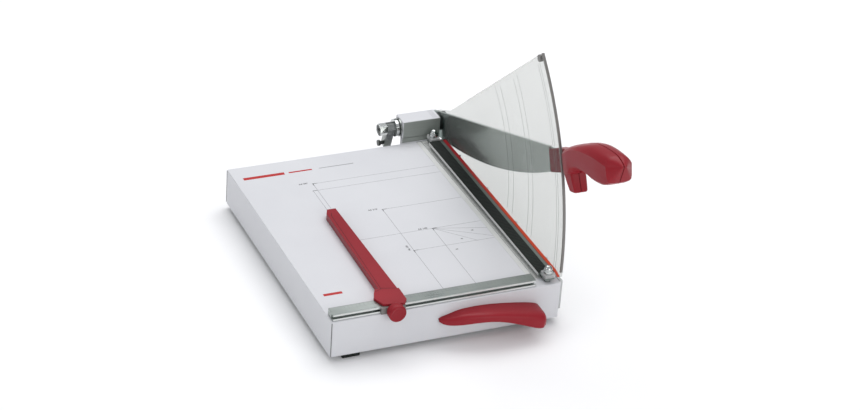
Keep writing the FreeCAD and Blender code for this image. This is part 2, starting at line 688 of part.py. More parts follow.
def make_guard():
    """Clear sector plate with its dark edge trim, its top lug and the screws in its foot."""
    left = -size("guard_gap") - size("guard_thick")
    foot, mid, top, rear = guard_points()
    across = vector(size("guard_thick"), 0, 0)
    arc = Part.Arc(vector(left, *foot), vector(left, *mid), vector(left, *top)).toShape()
    tail = [top, rear, (374.0, rear[1] - 17.5), (376.5, rear[1] - 20.5), (352.0, rear[1] - 20.5),
            (345.0, foot[1]), foot]
    points = [vector(left, *point) for point in tail]
    lines = [Part.makeLine(first, second) for first, second in zip(points, points[1:])]
    wire = Part.Wire([arc] + lines)
    plate = slab(wire, across)
    deep = size("trim_deep")
    ring_outer = size("guard_radius") + 1
    ring_inner = size("guard_radius") - deep
    middle = vector(left, size("guard_mid_y"), size("guard_mid_z"))
    ring = Part.makeCylinder(ring_outer, size("guard_thick"), middle, AXES["x"])
    ring = ring.cut(Part.makeCylinder(ring_inner, size("guard_thick"), middle, AXES["x"]))
    front_half = Part.makeBox(10, 420, 320, vector(left - 3, -60, foot[1] + 6))
    trim = plate.common(ring).common(front_half)
    plate = plate.cut(trim)
    cap_middle = vector(left - 0.8, top[0] + 5.5, top[1] - 9.5)
    cap = Part.makeCylinder(4.5, size("guard_thick") + 1.6, cap_middle, AXES["x"])
    plate = plate.cut(cap)
    trim = trim.cut(cap)
    screws = []
    for reach in (30.0, 120.0, 210.0, 300.0):
        spot = vector(left - 2, reach, size("bar_under") + size("bar_thick") / 2)
        screw = Part.makeCylinder(1.5, size("guard_thick") + 1.7, spot, AXES["x"])
        plate = plate.cut(screw)
        screws.append(screw.common(Part.makeBox(20, 400, 20, vector(left, 0, 0))))
    node("guard_plate", solid(plate))
    node("guard_edge_trim", solid(trim))
    node("guard_cap", solid(cap))
    node("guard_screws", solid(Part.makeCompound(screws)))


# ---------------------------------------------------------------- backgauge

def make_backgauge():
    """Tapered beam across the table with a head over the rail, its bracket, and its clamping screw."""
    low = 0.5
    tall = size("gauge_tall")
    middle = -size("gauge_middle")
    head_left = middle - size("head_wide") / 2
    head_right = middle + size("head_wide") / 2
    far = size("beam_long")
    beam_points = [(head_left + 10, 8), (head_right + 3.5, 8), (head_right - 0.0, far),
                   (head_right - 11.5, far), (head_right - 15.5, far - 9)]
    beam = slab(outline([vector(x, y, low) for x, y in beam_points]), vector(0, 0, tall - low))
    head_points = [(head_left + 1, -16.5), (middle - 1, -19.5), (head_right - 2, -20.5),
                   (head_right + 3, -14), (head_right + 3.5, 12), (head_left + 3.5, 17.5),
                   (head_left - 1, 9), (head_left - 4.5, -1)]
    head = slab(outline([vector(x, y, low) for x, y in head_points]), vector(0, 0, 12.0))
    rail_room = Part.makeBox(120, 40, size("rail_tall") + 1, vector(middle - 60, -39.65, -0.6))
    node("backgauge", solid(beam.fuse(head).cut(rail_room).removeSplitter()))
    bracket = box(("-gauge_middle - 17", "-rail_wide - 4.2", "0.8"), ("31", "3.85", "rail_tall - 0.4"))
    screw_hole = rod(("-gauge_middle", "-rail_wide - 6", "4.5"), "y", "screw_radius + 0.2", "9")
    node("gauge_bracket", cut(bracket, screw_hole))
    slider = box(("-gauge_middle - 8", "-rail_wide + 2.3", "1.5"), ("16", "2.9", "6"))
    slider_hole = rod(("-gauge_middle", "-rail_wide", "4.5"), "y", "screw_radius + 0.1", "8")
    node("slider_nut", cut(slider, slider_hole))
    knob = rod(("-gauge_middle", "-20.9 - knob_thick", "4.5"), "y", "knob_radius", "knob_thick")
    node("clamp_knob", cut(knob, rod(("-gauge_middle", "-26", "4.5"), "y", "screw_radius", "8")))
    node("clamp_screw", rod(("-gauge_middle", "-26", "4.5"), "y", "screw_radius", "26 - rail_wide + 4.5"))


def export():
    """Check every object and write each sub-part to a file named after it."""
    doc.recompute()
    failed = [obj.Name for obj in doc.Objects if "Invalid" in obj.State or "Error" in obj.State]
    if failed:
        raise RuntimeError("not rebuilt: " + ", ".join(failed))
    for label, obj in NODES.items():
        if obj.Shape.isNull() or not obj.Shape.isValid() or not obj.Shape.Solids:
            raise RuntimeError("no valid solid in " + label)
    for label, obj in NODES.items():
        obj.Shape.exportStep("parts/%s.step" % label)
    print("wrote", len(NODES), "sub-parts")


make_housing()
make_under_table()
make_bed()
make_rail()
make_carry_handle()
make_bearing()
make_return_spring()
make_shaft()
make_blade()
make_handle()
make_clamp_bar()
make_posts()
make_guard()
make_backgauge()
export()
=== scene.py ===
"""Looks of a guillotine paper cutter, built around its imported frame.

Each sub-assembly is a class that holds its sizes in millimetres and builds and dresses its own
pieces.  The table frame that the sizes are given in has X = 0 on the cutting plane, Y = 0 on the
paper side of the fence and Z = 0 on the table top; TableFrame turns it into the frame's metres.
The arm frame has the pivot axis as its origin: reach runs along the arm and height stands on it.
"""

import json
import logging
import math
from dataclasses import dataclass, field
from enum import Enum
from typing import Iterable, Sequence

import bmesh
import bpy
from mathutils import Matrix, Vector


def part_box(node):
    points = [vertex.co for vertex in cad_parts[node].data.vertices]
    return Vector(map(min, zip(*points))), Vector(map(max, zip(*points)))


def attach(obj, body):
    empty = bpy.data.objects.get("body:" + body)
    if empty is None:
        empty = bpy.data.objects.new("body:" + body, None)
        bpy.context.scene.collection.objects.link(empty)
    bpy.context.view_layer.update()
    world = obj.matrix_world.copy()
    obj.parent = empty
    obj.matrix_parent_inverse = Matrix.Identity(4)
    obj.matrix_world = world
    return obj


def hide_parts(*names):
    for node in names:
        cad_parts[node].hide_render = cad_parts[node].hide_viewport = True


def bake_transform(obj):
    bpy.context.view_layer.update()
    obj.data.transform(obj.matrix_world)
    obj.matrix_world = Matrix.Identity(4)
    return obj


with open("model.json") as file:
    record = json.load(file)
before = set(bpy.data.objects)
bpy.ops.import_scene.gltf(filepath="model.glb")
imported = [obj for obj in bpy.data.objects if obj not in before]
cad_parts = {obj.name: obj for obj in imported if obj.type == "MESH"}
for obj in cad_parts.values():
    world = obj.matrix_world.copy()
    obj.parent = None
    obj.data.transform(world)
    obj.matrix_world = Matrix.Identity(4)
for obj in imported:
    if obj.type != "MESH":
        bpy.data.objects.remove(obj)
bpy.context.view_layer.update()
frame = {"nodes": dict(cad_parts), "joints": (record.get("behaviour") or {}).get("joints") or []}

LOG = logging.getLogger("paper_cutter")
MM = 0.001
NOISE_LOW = 0.3
NOISE_HIGH = 0.7
CLOUD_SHARE = 0.65
FINE_SHARE = 0.35

Spot = tuple[float, float, float]
Flat = tuple[float, float]


class Body(Enum):
    """The moving bodies that a piece can ride on."""

    BASE = "base"
    ARM = "arm"
    CLAMP = "clamp"
    GAUGE = "gauge"
    KNOB = "knob"


@dataclass(frozen=True)
class TableFrame:
    """Turns table millimetres into the frame's metres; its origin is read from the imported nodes."""

    origin: Vector
    pivot: Vector
    rest_angle: float = math.radians(20.2)

    @classmethod
    def read(cls) -> "TableFrame":
        """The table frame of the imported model.

        Returns:
            A frame whose origin is the cutting plane, the fence's face and the table top.
        """
        cutting_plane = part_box("lower_knife")[1].x
        fence_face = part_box("fence_rail")[1].y
        table_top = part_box("housing")[1].z
        hinge = next(joint for joint in frame["joints"] if joint["name"] == "arm_hinge")
        return cls(Vector((cutting_plane, fence_face, table_top)), Vector(hinge["pos_m"]))

    def at(self, spot: Sequence[float]) -> Vector:
        """A point of the table frame, in metres."""
        return self.origin + Vector(spot) * MM

    def arm(self, across: float, reach: float, height: float) -> Spot:
        """A point of the arm at rest, in table millimetres.

        Args:
            across: distance to the right of the cutting plane.
            reach: distance from the pivot along the arm.
            height: distance above the arm's middle line.

        Returns:
            The point in the table frame.
        """
        pivot = (self.pivot - self.origin) / MM
        cosine, sine = math.cos(self.rest_angle), math.sin(self.rest_angle)
        return (across, pivot.y - reach * cosine + height * sine, pivot.z + reach * sine + height * cosine)


TABLE = TableFrame.read()


# ------------------------------------------------------------------ finishes

@dataclass(frozen=True)
class Grain:
    """A fine pattern in a surface: how often it repeats per metre along each axis, and its depth."""

    scale: Spot = (900.0, 900.0, 900.0)
    depth: float = 0.00002
    strength: float = 0.2
    detail: float = 3.0


@dataclass(frozen=True)
class Finish:
    """A solid finish with uneven colour, uneven gloss and a fine relief."""

    name: str
    light: Spot
    dark: Spot
    roughness: Flat
    metallic: float = 0.0
    grain: Grain = Grain()
    cloud: Spot = (12.0, 12.0, 12.0)
    specular: float = 0.5
    edge_radius: float = 0.0

    def material(self) -> bpy.types.Material:
        """The Blender material of this finish, made once.

        Returns:
            The material, with its colour, gloss and relief driven by noise in object space.
        """
        title = self.name + "_finish"
        made = bpy.data.materials.get(title)
        if made is not None:
            return made
        made = bpy.data.materials.new(title)
        made.use_nodes = True
        nodes = Nodes(made.node_tree)
        self.dress(nodes, nodes.shader)
        return made

    def dress(self, nodes: "Nodes", shader: bpy.types.Node) -> None:
        """Fill one Principled shader with this finish.

        Args:
            nodes: the material's node tree helper.
            shader: the Principled node to fill.
        """
        shader.inputs["Metallic"].default_value = self.metallic
        shader.inputs["Specular IOR Level"].default_value = self.specular
        cloud = nodes.noise(self.cloud, 4.0)
        fine = nodes.noise(self.grain.scale, self.grain.detail)
        both = nodes.math("ADD", nodes.math("MULTIPLY", cloud, CLOUD_SHARE),
                          nodes.math("MULTIPLY", fine, FINE_SHARE))
        nodes.link(nodes.ramp(both, self.dark, self.light), shader.inputs["Base Color"])
        nodes.link(nodes.spread(both, *self.roughness), shader.inputs["Roughness"])
        nodes.link(nodes.bump(fine, self.grain, self.edge_radius), shader.inputs["Normal"])


class Nodes:
    """Adds the few node patterns that the finishes share to one material."""

    def __init__(self, tree: bpy.types.NodeTree) -> None:
        """Take hold of a fresh material's tree and its two standard nodes."""
        self.tree = tree
        self.shader = tree.nodes["Principled BSDF"]
        self.output = tree.nodes["Material Output"]
        self.place = tree.nodes.new("ShaderNodeTexCoord").outputs["Object"]

    def link(self, source: bpy.types.NodeSocket, target: bpy.types.NodeSocket) -> None:
        """Join two sockets."""
        self.tree.links.new(source, target)

    def noise(self, scale: Spot, detail: float) -> bpy.types.NodeSocket:
        """Noise stretched differently along each axis.

        Args:
            scale: repeats per metre along X, Y and Z.
            detail: octaves of finer noise.

        Returns:
            The noise value.
        """
        mapping = self.tree.nodes.new("ShaderNodeMapping")
        mapping.inputs["Scale"].default_value = scale
        self.link(self.place, mapping.inputs["Vector"])
        noise = self.tree.nodes.new("ShaderNodeTexNoise")
        noise.inputs["Scale"].default_value = 1.0
        noise.inputs["Detail"].default_value = detail
        self.link(mapping.outputs["Vector"], noise.inputs["Vector"])
        return noise.outputs["Fac"]

    def math(self, operation: str, first: object, second: object) -> bpy.types.NodeSocket:
        """A Math node on two sockets or numbers.

        Args:
            operation: Blender's name of the operation.
            first: a socket or a number.
            second: a socket or a number.

        Returns:
            The node's value.
        """
        node = self.tree.nodes.new("ShaderNodeMath")
        node.operation = operation
        for socket, given in zip(node.inputs, (first, second)):
            if isinstance(given, (int, float)):
                socket.default_value = given
            else:
                self.link(given, socket)
        return node.outputs[0]

    def ramp(self, value: bpy.types.NodeSocket, dark: Spot, light: Spot) -> bpy.types.NodeSocket:
        """A colour between two, by a noise value.

        Args:
            value: the noise that chooses.
            dark: linear colour where the noise is low.
            light: linear colour where it is high.

        Returns:
            The colour socket.
        """
        ramp = self.tree.nodes.new("ShaderNodeValToRGB")
        ends = ramp.color_ramp.elements
        ends[0].position, ends[1].position = NOISE_LOW, NOISE_HIGH
        ends[0].color, ends[1].color = (*dark, 1.0), (*light, 1.0)
        self.link(value, ramp.inputs["Fac"])
        return ramp.outputs["Color"]

    def spread(self, value: bpy.types.NodeSocket, low: float, high: float) -> bpy.types.NodeSocket:
        """A noise value spread between two numbers.

        Args:
            value: noise about one half.
            low: the result where the noise is low.
            high: the result where the noise is high.

        Returns:
            The spread value.
        """
        node = self.tree.nodes.new("ShaderNodeMapRange")
        node.inputs["From Min"].default_value = NOISE_LOW
        node.inputs["From Max"].default_value = NOISE_HIGH
        node.inputs["To Min"].default_value = low
        node.inputs["To Max"].default_value = high
        self.link(value, node.inputs["Value"])
        return node.outputs["Result"]

    def bump(self, value: bpy.types.NodeSocket, grain: Grain, radius: float = 0.0) -> bpy.types.NodeSocket:
        """A relief from a value, on edges rounded by a radius.

        Args:
            value: the height.
            grain: how deep and strong the relief is.
            radius: edge rounding in metres, or 0 for none.

        Returns:
            The normal.
        """
        node = self.tree.nodes.new("ShaderNodeBump")
        node.inputs["Distance"].default_value = grain.depth
        node.inputs["Strength"].default_value = grain.strength
        self.link(value, node.inputs["Height"])
        if radius:
            edge = self.tree.nodes.new("ShaderNodeBevel")
            edge.inputs["Radius"].default_value = radius
            edge.samples = 4
            self.link(edge.outputs["Normal"], node.inputs["Normal"])
        return node.outputs["Normal"]

    def axis(self, letter: str) -> bpy.types.NodeSocket:
        """One coordinate of the place in object space."""
        split = self.tree.nodes.new("ShaderNodeSeparateXYZ")
        self.link(self.place, split.inputs["Vector"])
        return split.outputs[letter]

    def between(self, value: bpy.types.NodeSocket, low: float, high: float) -> bpy.types.NodeSocket:
        """0 below low, 1 above high and smooth between them."""
        node = self.tree.nodes.new("ShaderNodeMapRange")
        node.interpolation_type = "SMOOTHSTEP"
        node.inputs["From Min"].default_value = low
        node.inputs["From Max"].default_value = high
        self.link(value, node.inputs["Value"])
        return node.outputs["Result"]

    def mix(self, factor: bpy.types.NodeSocket, first: bpy.types.NodeSocket,
            second: bpy.types.NodeSocket) -> bpy.types.NodeSocket:
        """A colour between two sockets."""
        node = self.tree.nodes.new("ShaderNodeMix")
        node.data_type = "RGBA"
        self.link(factor, node.inputs["Factor"])
        self.link(first, node.inputs["A"])
        self.link(second, node.inputs["B"])
        return node.outputs["Result"]


@dataclass(frozen=True)
class FadingStrip(Finish):
    """A translucent strip whose colour runs from its rear end to its front end."""

    front_light: Spot = (0.60, 0.055, 0.013)
    front_dark: Spot = (0.48, 0.035, 0.010)
    rear_y: float = 0.20
    front_y: float = -0.05

    def dress(self, nodes: Nodes, shader: bpy.types.Node) -> None:
        """Fill the shader, then blend its colour along the strip."""
        super().dress(nodes, shader)
        rear = shader.inputs["Base Color"].links[0].from_socket
        front = nodes.ramp(nodes.noise(self.cloud, 2.0), self.front_dark, self.front_light)
        along = nodes.between(nodes.axis("Y"), self.front_y, self.rear_y)
        nodes.link(nodes.mix(along, front, rear), shader.inputs["Base Color"])


@dataclass(frozen=True)
class BladeSteel(Finish):
    """Ground steel with painted shade and dark reflection: darker round the pivot, where the blade meets the
    bearing block.
    """

    pivot_shade_light: Spot = (0.17, 0.23, 0.205)
    pivot_shade_dark: Spot = (0.09, 0.13, 0.115)
    near: float = 0.03
    far: float = 0.21

    def dress(self, nodes: Nodes, shader: bpy.types.Node) -> None:
        """Fill the shader, then darken it towards the pivot with painted shade and dark reflection.

        Args:
            nodes: the material's node builder.
            shader: its principled shader.
        """
        super().dress(nodes, shader)
        clean = shader.inputs["Base Color"].links[0].from_socket
        # painted shade and dark reflection: darker steel near the pivot, faded out by the distance from it
        pivot_shade = nodes.ramp(nodes.noise(self.cloud, 3.0), self.pivot_shade_dark, self.pivot_shade_light)
        middle = nodes.tree.nodes.new("ShaderNodeCombineXYZ")
        for socket, value in zip(middle.inputs, (TABLE.pivot.x, TABLE.pivot.y, TABLE.pivot.z)):
            socket.default_value = value
        gap = nodes.tree.nodes.new("ShaderNodeVectorMath")
        gap.operation = "DISTANCE"
        nodes.link(nodes.place, gap.inputs[0])
        nodes.link(middle.outputs["Vector"], gap.inputs[1])
        away = nodes.between(gap.outputs["Value"], self.near, self.far)
        nodes.link(nodes.mix(away, pivot_shade, clean), shader.inputs["Base Color"])


@dataclass(frozen=True)
class ClearSheet:
    """Clear acrylic: a slightly tinted see-through sheet with a glossy face."""

    name: str
    tint_light: Spot
    tint_dark: Spot
    gloss: float = 0.04
    haze: float = 0.06
    sheen: float = 0.07

    def material(self) -> bpy.types.Material:
        """The Blender material, made once.

        Returns:
            A mix of a tinted transparent shader, a thin haze and a glossy face.
        """
        title = self.name + "_finish"
        made = bpy.data.materials.get(title)
        if made is not None:
            return made
        made = bpy.data.materials.new(title)
        made.use_nodes = True
        nodes = Nodes(made.node_tree)
        shader = nodes.shader
        shader.inputs["Roughness"].default_value = self.gloss
        shader.inputs["IOR"].default_value = 1.49
        cloud = nodes.noise((4.0, 4.0, 4.0), 2.0)
        nodes.link(nodes.ramp(cloud, self.tint_dark, self.tint_light), shader.inputs["Base Color"])
        clear = made.node_tree.nodes.new("ShaderNodeBsdfTransparent")
        nodes.link(nodes.ramp(cloud, self.tint_dark, self.tint_light), clear.inputs["Color"])
        slant = made.node_tree.nodes.new("ShaderNodeLayerWeight")
        share = nodes.math("ADD", nodes.math("MULTIPLY", slant.outputs["Facing"], self.sheen), self.haze)
        mixed = made.node_tree.nodes.new("ShaderNodeMixShader")
        nodes.link(share, mixed.inputs["Fac"])
        nodes.link(clear.outputs["BSDF"], mixed.inputs[1])
        nodes.link(shader.outputs["BSDF"], mixed.inputs[2])
        nodes.link(mixed.outputs["Shader"], nodes.output.inputs["Surface"])
        return made


BRUSH_ALONG_Y = Grain(scale=(2600.0, 25.0, 2600.0), depth=0.00001, strength=0.25, detail=2.0)
BRUSH_ALONG_X = Grain(scale=(25.0, 2600.0, 2600.0), depth=0.00001, strength=0.25, detail=2.0)
TURNED = Grain(scale=(1800.0, 300.0, 300.0), depth=0.00001, strength=0.2, detail=2.0)
POWDER = Grain(scale=(1500.0, 1500.0, 1500.0), depth=0.00003, strength=0.25, detail=2.0)
SPARK = Grain(scale=(2200.0, 2200.0, 2200.0), depth=0.00003, strength=0.3, detail=2.0)


class Surface(Enum):
    """Every finish of the machine, under the name of the slot that it fills where it has one."""

    WHITE_PAINT = Finish("white_paint", (0.675, 0.68, 0.70), (0.63, 0.635, 0.66), (0.42, 0.56), 0.0, POWDER,
                         edge_radius=0.0006)
    RED_PLASTIC = Finish("red_plastic", (0.32, 0.016, 0.026), (0.235, 0.011, 0.018), (0.28, 0.40), 0.0,
                         SPARK, specular=0.2, edge_radius=0.0005)
    # painted shade: dark red for the lines along the backgauge's crease and fold
    RED_CREASE = Finish("red_crease", (0.10, 0.004, 0.008), (0.06, 0.003, 0.005), (0.4, 0.5), specular=0.2)
    CLEAR_GUARD = ClearSheet("clear_guard", (0.85, 0.855, 0.845), (0.83, 0.835, 0.825), haze=0.012)
    # pale hazy clear sheet: the end blocks, and the painted highlight along the guard's edge
    CLEAR_EDGE = ClearSheet("clear_edge", (0.97, 0.975, 0.97), (0.90, 0.905, 0.90), haze=0.35)
    GUARD_TRIM = Finish("guard_trim", (0.22, 0.21, 0.20), (0.15, 0.145, 0.135), (0.3, 0.5))
    BLADE_STEEL = BladeSteel("blade_steel", (0.72, 0.775, 0.74), (0.60, 0.655, 0.62), (0.16, 0.26), 0.82,
                             BRUSH_ALONG_Y)
    KNIFE_STEEL = Finish("knife_steel", (0.52, 0.53, 0.53), (0.40, 0.41, 0.41), (0.25, 0.4), 1.0,
                         BRUSH_ALONG_Y)
    RAIL_ALUMINIUM = Finish("rail_aluminium", (0.40, 0.43, 0.41), (0.24, 0.27, 0.255), (0.24, 0.38), 0.95,
                            BRUSH_ALONG_X, edge_radius=0.0003)
    RULE_METAL = Finish("rule_metal", (0.72, 0.73, 0.71), (0.55, 0.56, 0.54), (0.4, 0.55), 0.0,
                        BRUSH_ALONG_Y)
    # painted highlight: pale metal for the bands on the rail's front
    RAIL_BRIGHT = Finish("rail_bright", (0.74, 0.76, 0.75), (0.58, 0.60, 0.59), (0.25, 0.4), 0.5,
                         BRUSH_ALONG_X)
    CLAMP_ALUMINIUM = Finish("clamp_aluminium", (0.19, 0.22, 0.205), (0.115, 0.14, 0.128), (0.30, 0.46), 0.6,
                             BRUSH_ALONG_Y, edge_radius=0.0003)
    BLACK_RUBBER = Finish("black_rubber", (0.026, 0.032, 0.028), (0.006, 0.008, 0.007), (0.5, 0.7), 0.0,
                          Grain((1500.0, 1500.0, 1500.0), 0.0001, 0.6, 3.0), specular=0.2)
    RED_STRIP = FadingStrip("red_strip", (0.42, 0.018, 0.026), (0.32, 0.012, 0.018), (0.3, 0.45), 0.0, SPARK,
                            specular=0.25)
    LIGHT_STRIP = Finish("light_strip", (0.74, 0.745, 0.73), (0.58, 0.59, 0.57), (0.35, 0.5), 0.0,
                         BRUSH_ALONG_Y)
    CHROME = Finish("chrome", (0.62, 0.64, 0.63), (0.42, 0.44, 0.43), (0.07, 0.16), 1.0,
                    Grain((700.0, 700.0, 700.0), 0.00001, 0.1, 2.0), edge_radius=0.0004)
    ZINC_STEEL = Finish("zinc_steel", (0.40, 0.42, 0.405), (0.20, 0.215, 0.205), (0.14, 0.30), 1.0, TURNED,
                        edge_radius=0.0003)
    DARK_STEEL = Finish("dark_steel", (0.12, 0.125, 0.12), (0.045, 0.05, 0.047), (0.22, 0.40), 1.0, TURNED,
                        edge_radius=0.0003)
    BRONZE = Finish("bronze", (0.55, 0.37, 0.17), (0.40, 0.26, 0.11), (0.3, 0.45), 1.0, TURNED)
    GALVANISED = Finish("galvanised", (0.56, 0.57, 0.58), (0.40, 0.41, 0.42), (0.35, 0.5), 1.0,
                        Grain((160.0, 160.0, 160.0), 0.00002, 0.2, 1.0))
    # darker grey for the bearing block's faces towards the table
    MILLED_GREY = Finish("milled_grey", (0.35, 0.38, 0.35), (0.24, 0.265, 0.245), (0.4, 0.55), 0.0,
                         BRUSH_ALONG_X)
    SEAM_GREY = Finish("seam_grey", (0.20, 0.205, 0.205), (0.15, 0.155, 0.155), (0.5, 0.65))
    PRINT_GREY = Finish("print_grey", (0.26, 0.26, 0.27), (0.19, 0.19, 0.20), (0.5, 0.6))
    PRINT_BLACK = Finish("print_black", (0.05, 0.05, 0.05), (0.025, 0.025, 0.025), (0.5, 0.6))
    PRINT_RED = Finish("print_red", (0.50, 0.030, 0.028), (0.42, 0.022, 0.02), (0.45, 0.55), specular=0.25)
    # etched lines on the guard and their painted reflections
    ETCHED_LINE = Finish("etched_line", (0.13, 0.14, 0.135), (0.07, 0.08, 0.075), (0.3, 0.5))

    @property
    def material(self) -> bpy.types.Material:
        """The Blender material of this finish."""
        return self.value.material()


SLOT_SURFACES = {surface.name.lower(): surface for surface in Surface}


# ------------------------------------------------------------------ mesh bench

class Bench:
    """Collects the closed shapes of one piece in table millimetres and makes its Blender object."""

    letter_bold: float = 0.07
    letter_rise: float = 0.03
    same_point: float = 1e-7

    def __init__(self, name: str) -> None:
        """Start an empty mesh for a piece."""
        self.name = name
        self.mesh = bmesh.new()

    def loft(self, rings: Sequence[Sequence[Spot]], finish: int = 0) -> None:
        """Skin a row of rings and close both ends.

        Args:
            rings: closed rings with the same number of points, in order.
            finish: index of the material on these faces.
        """
        rows = [[self.mesh.verts.new(TABLE.at(spot)) for spot in ring] for ring in rings]
        faces = []
        for first, second in zip(rows, rows[1:]):
            count = len(first)
            for index in range(count):
                following = (index + 1) % count
                faces.append(self.mesh.faces.new((first[index], first[following], second[following],
                                                  second[index])))
        faces.append(self.mesh.faces.new(list(reversed(rows[0]))))
        faces.append(self.mesh.faces.new(rows[-1]))
        for face in faces:
            face.material_index = finish

    def prism(self, outline: Sequence[Spot], along: Spot, finish: int = 0) -> None:
        """A flat outline given a thickness along a vector."""
        far = [tuple(a + b for a, b in zip(spot, along)) for spot in outline]
        self.loft([outline, far], finish)

    def bar(self, low: Spot, high: Spot, finish: int = 0) -> None:
        """A straight-sided bar between two corners."""
        outline = [(low[0], low[1], low[2]), (high[0], low[1], low[2]), (high[0], high[1], low[2]),
                   (low[0], high[1], low[2])]
        self.prism(outline, (0.0, 0.0, high[2] - low[2]), finish)

    def stroke(self, start: Flat, end: Flat, wide: float, low: float, tall: float, finish: int = 0) -> None:
        """A thin printed line on a level face.

        Args:
            start: its first end in the plane.
            end: its second end in the plane.
            wide: the line's width.
            low: the height of the face that it lies on.
            tall: how thick the ink is.
            finish: index of the material on it.
        """
        run = Vector(end) - Vector(start)
        side = Vector((-run.y, run.x)).normalized() * wide / 2
        corners = [Vector(start) - side, Vector(end) - side, Vector(end) + side, Vector(start) + side]
        self.prism([(corner.x, corner.y, low) for corner in corners], (0.0, 0.0, tall), finish)

    def lathe(self, profile: Sequence[Flat], centre: Spot, axis: str, steps: int = 48,
              finish: int = 0) -> None:
        """Turn a profile about an axis.

        Args:
            profile: (distance along the axis, radius) pairs; the first and last radius may be small.
            centre: a point on the axis.
            axis: "x", "y" or "z".
            steps: facets round the turn.
            finish: index of the material on it.
        """
        letters = "xyz"
        main = letters.index(axis)
        one, two = [index for index in range(3) if index != main]
        rings = []
        for along, radius in profile:
            ring = []
            for step in range(steps):
                angle = math.tau * step / steps
                spot = list(centre)
                spot[main] += along
                spot[one] += radius * math.cos(angle)
                spot[two] += radius * math.sin(angle)
                ring.append(tuple(spot))
            rings.append(ring)
        self.loft(rings, finish)

    def tube(self, path: Sequence[Spot], radius: float, sides: int = 10, finish: int = 0) -> None:
        """A round wire along a path, closed at both ends.

        Args:
            path: the points of its centreline.
            radius: the wire's radius.
            sides: facets round the wire.
            finish: index of the material on it.
        """
        points = [Vector(spot) for spot in path]
        rings = []
        up = Vector((1.0, 0.0, 0.0))
        for index, point in enumerate(points):
            before = points[max(index - 1, 0)]
            after = points[min(index + 1, len(points) - 1)]
            along = (after - before).normalized()
            up = (up - along * up.dot(along)).normalized()
            side = along.cross(up)
            rings.append([tuple(point + (up * math.cos(turn) + side * math.sin(turn)) * radius)
                          for turn in (math.tau * step / sides for step in range(sides))])
        self.loft(rings, finish)

    def words(self, text: str, spot: Spot, size: float, angle: float = 0.0, finish: int = 0) -> None:
        """Flat raised lettering on a level face.

        Args:
            text: what it says.
            spot: its lower left corner.
            size: the height of a line.
            angle: how far it is turned about Z, in degrees.
            finish: index of the material on it.
        """
        font = bpy.data.curves.new("words", "FONT")
        font.body = text
        font.size = size * MM
        font.offset = self.letter_bold * MM
        font.extrude = self.letter_rise * MM
        font.resolution_u = 3
        holder = bpy.data.objects.new("words", font)
        bpy.context.scene.collection.objects.link(holder)
        bpy.context.view_layer.update()
        evaluated = holder.evaluated_get(bpy.context.evaluated_depsgraph_get())
        letters = bpy.data.meshes.new_from_object(evaluated)
        letters.transform(Matrix.Translation(TABLE.at(spot)) @ Matrix.Rotation(math.radians(angle), 4, "Z"))
        before = len(self.mesh.faces)
        self.mesh.from_mesh(letters)
        self.mesh.faces.ensure_lookup_table()
        for face in self.mesh.faces[before:]:
            face.material_index = finish
        bpy.data.objects.remove(holder)
        bpy.data.meshes.remove(letters)
        bpy.data.curves.remove(font)

    def ready(self, surfaces: Sequence[Surface], sharp: float = 35.0) -> bpy.types.Object:
        """Make the object, with smooth shading up to an angle.

        Args:
            surfaces: the finishes of its material slots.
            sharp: the angle in degrees above which an edge stays sharp.

        Returns:
            The new object, linked to the scene.
        """
        bmesh.ops.remove_doubles(self.mesh, verts=self.mesh.verts, dist=self.same_point)
        bmesh.ops.recalc_face_normals(self.mesh, faces=self.mesh.faces)
        data = bpy.data.meshes.new(self.name)
        self.mesh.to_mesh(data)
        self.mesh.free()
        data.shade_smooth()
        data.set_sharp_from_angle(angle=math.radians(sharp))
        for surface in surfaces:
            data.materials.append(surface.material)
        made = bpy.data.objects.new(self.name, data)
        bpy.context.scene.collection.objects.link(made)
        return made


def soften(piece: bpy.types.Object, width: float, segments: int = 3, angle: float = 40.0) -> None:
    """Round a piece's sharp edges.

    Args:
        piece: the object.
        width: the width of the rounding in millimetres.
        segments: faces across the rounding.
        angle: the least angle of an edge that is rounded, in degrees.
    """
    bevel = piece.modifiers.new("rounded_edges", "BEVEL")
    bevel.width = width * MM
    bevel.segments = segments
    bevel.limit_method = "ANGLE"
    bevel.angle_limit = math.radians(angle)
    bevel.harden_normals = True


def fit(piece: bpy.types.Object, body: Body,
        replaces: Iterable[str] = ()) -> bpy.types.Object:
    """Put a finished piece on its body and report it.

    Args:
        piece: the object, in place.
        body: the body that it rides on.
        replaces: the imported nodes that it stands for.

    Returns:
        The same object.
    """
    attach(piece, body.value)
    nodes = list(replaces)
    if nodes:
        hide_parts(*nodes)
    LOG.info("%s rides on %s, %d faces", piece.name, body.value, len(piece.data.polygons))
    return piece


def smooth_step(value: float) -> float:
    """0 below 0, 1 above 1, level at both ends."""
    held = min(max(value, 0.0), 1.0)
    return held * held * (3.0 - 2.0 * held)


def through(stations: Sequence[Flat], value: float) -> float:
    """A smooth curve through (place, size) stations.

    Args:
        stations: pairs in rising order of place.
        value: the place asked for.

    Returns:
        The size there, by a monotone-slope cubic between neighbouring stations.
    """
    if value <= stations[0][0]:
        return stations[0][1]
    if value >= stations[-1][0]:
        return stations[-1][1]
    index = next(i for i in range(len(stations) - 1) if value <= stations[i + 1][0])
    (x0, y0), (x1, y1) = stations[index], stations[index + 1]
    before = stations[max(index - 1, 0)]
    after = stations[min(index + 2, len(stations) - 1)]
    span = x1 - x0
    slope0 = (y1 - before[1]) / (x1 - before[0]) if x1 != before[0] else 0.0
    slope1 = (after[1] - y0) / (after[0] - x0) if after[0] != x0 else 0.0
    part = (value - x0) / span
    square, cube = part * part, part ** 3
    return ((2 * cube - 3 * square + 1) * y0 + (cube - 2 * square + part) * span * slope0
            + (3 * square - 2 * cube) * y1 + (cube - square) * span * slope1)


# ------------------------------------------------------------------ sub-assemblies

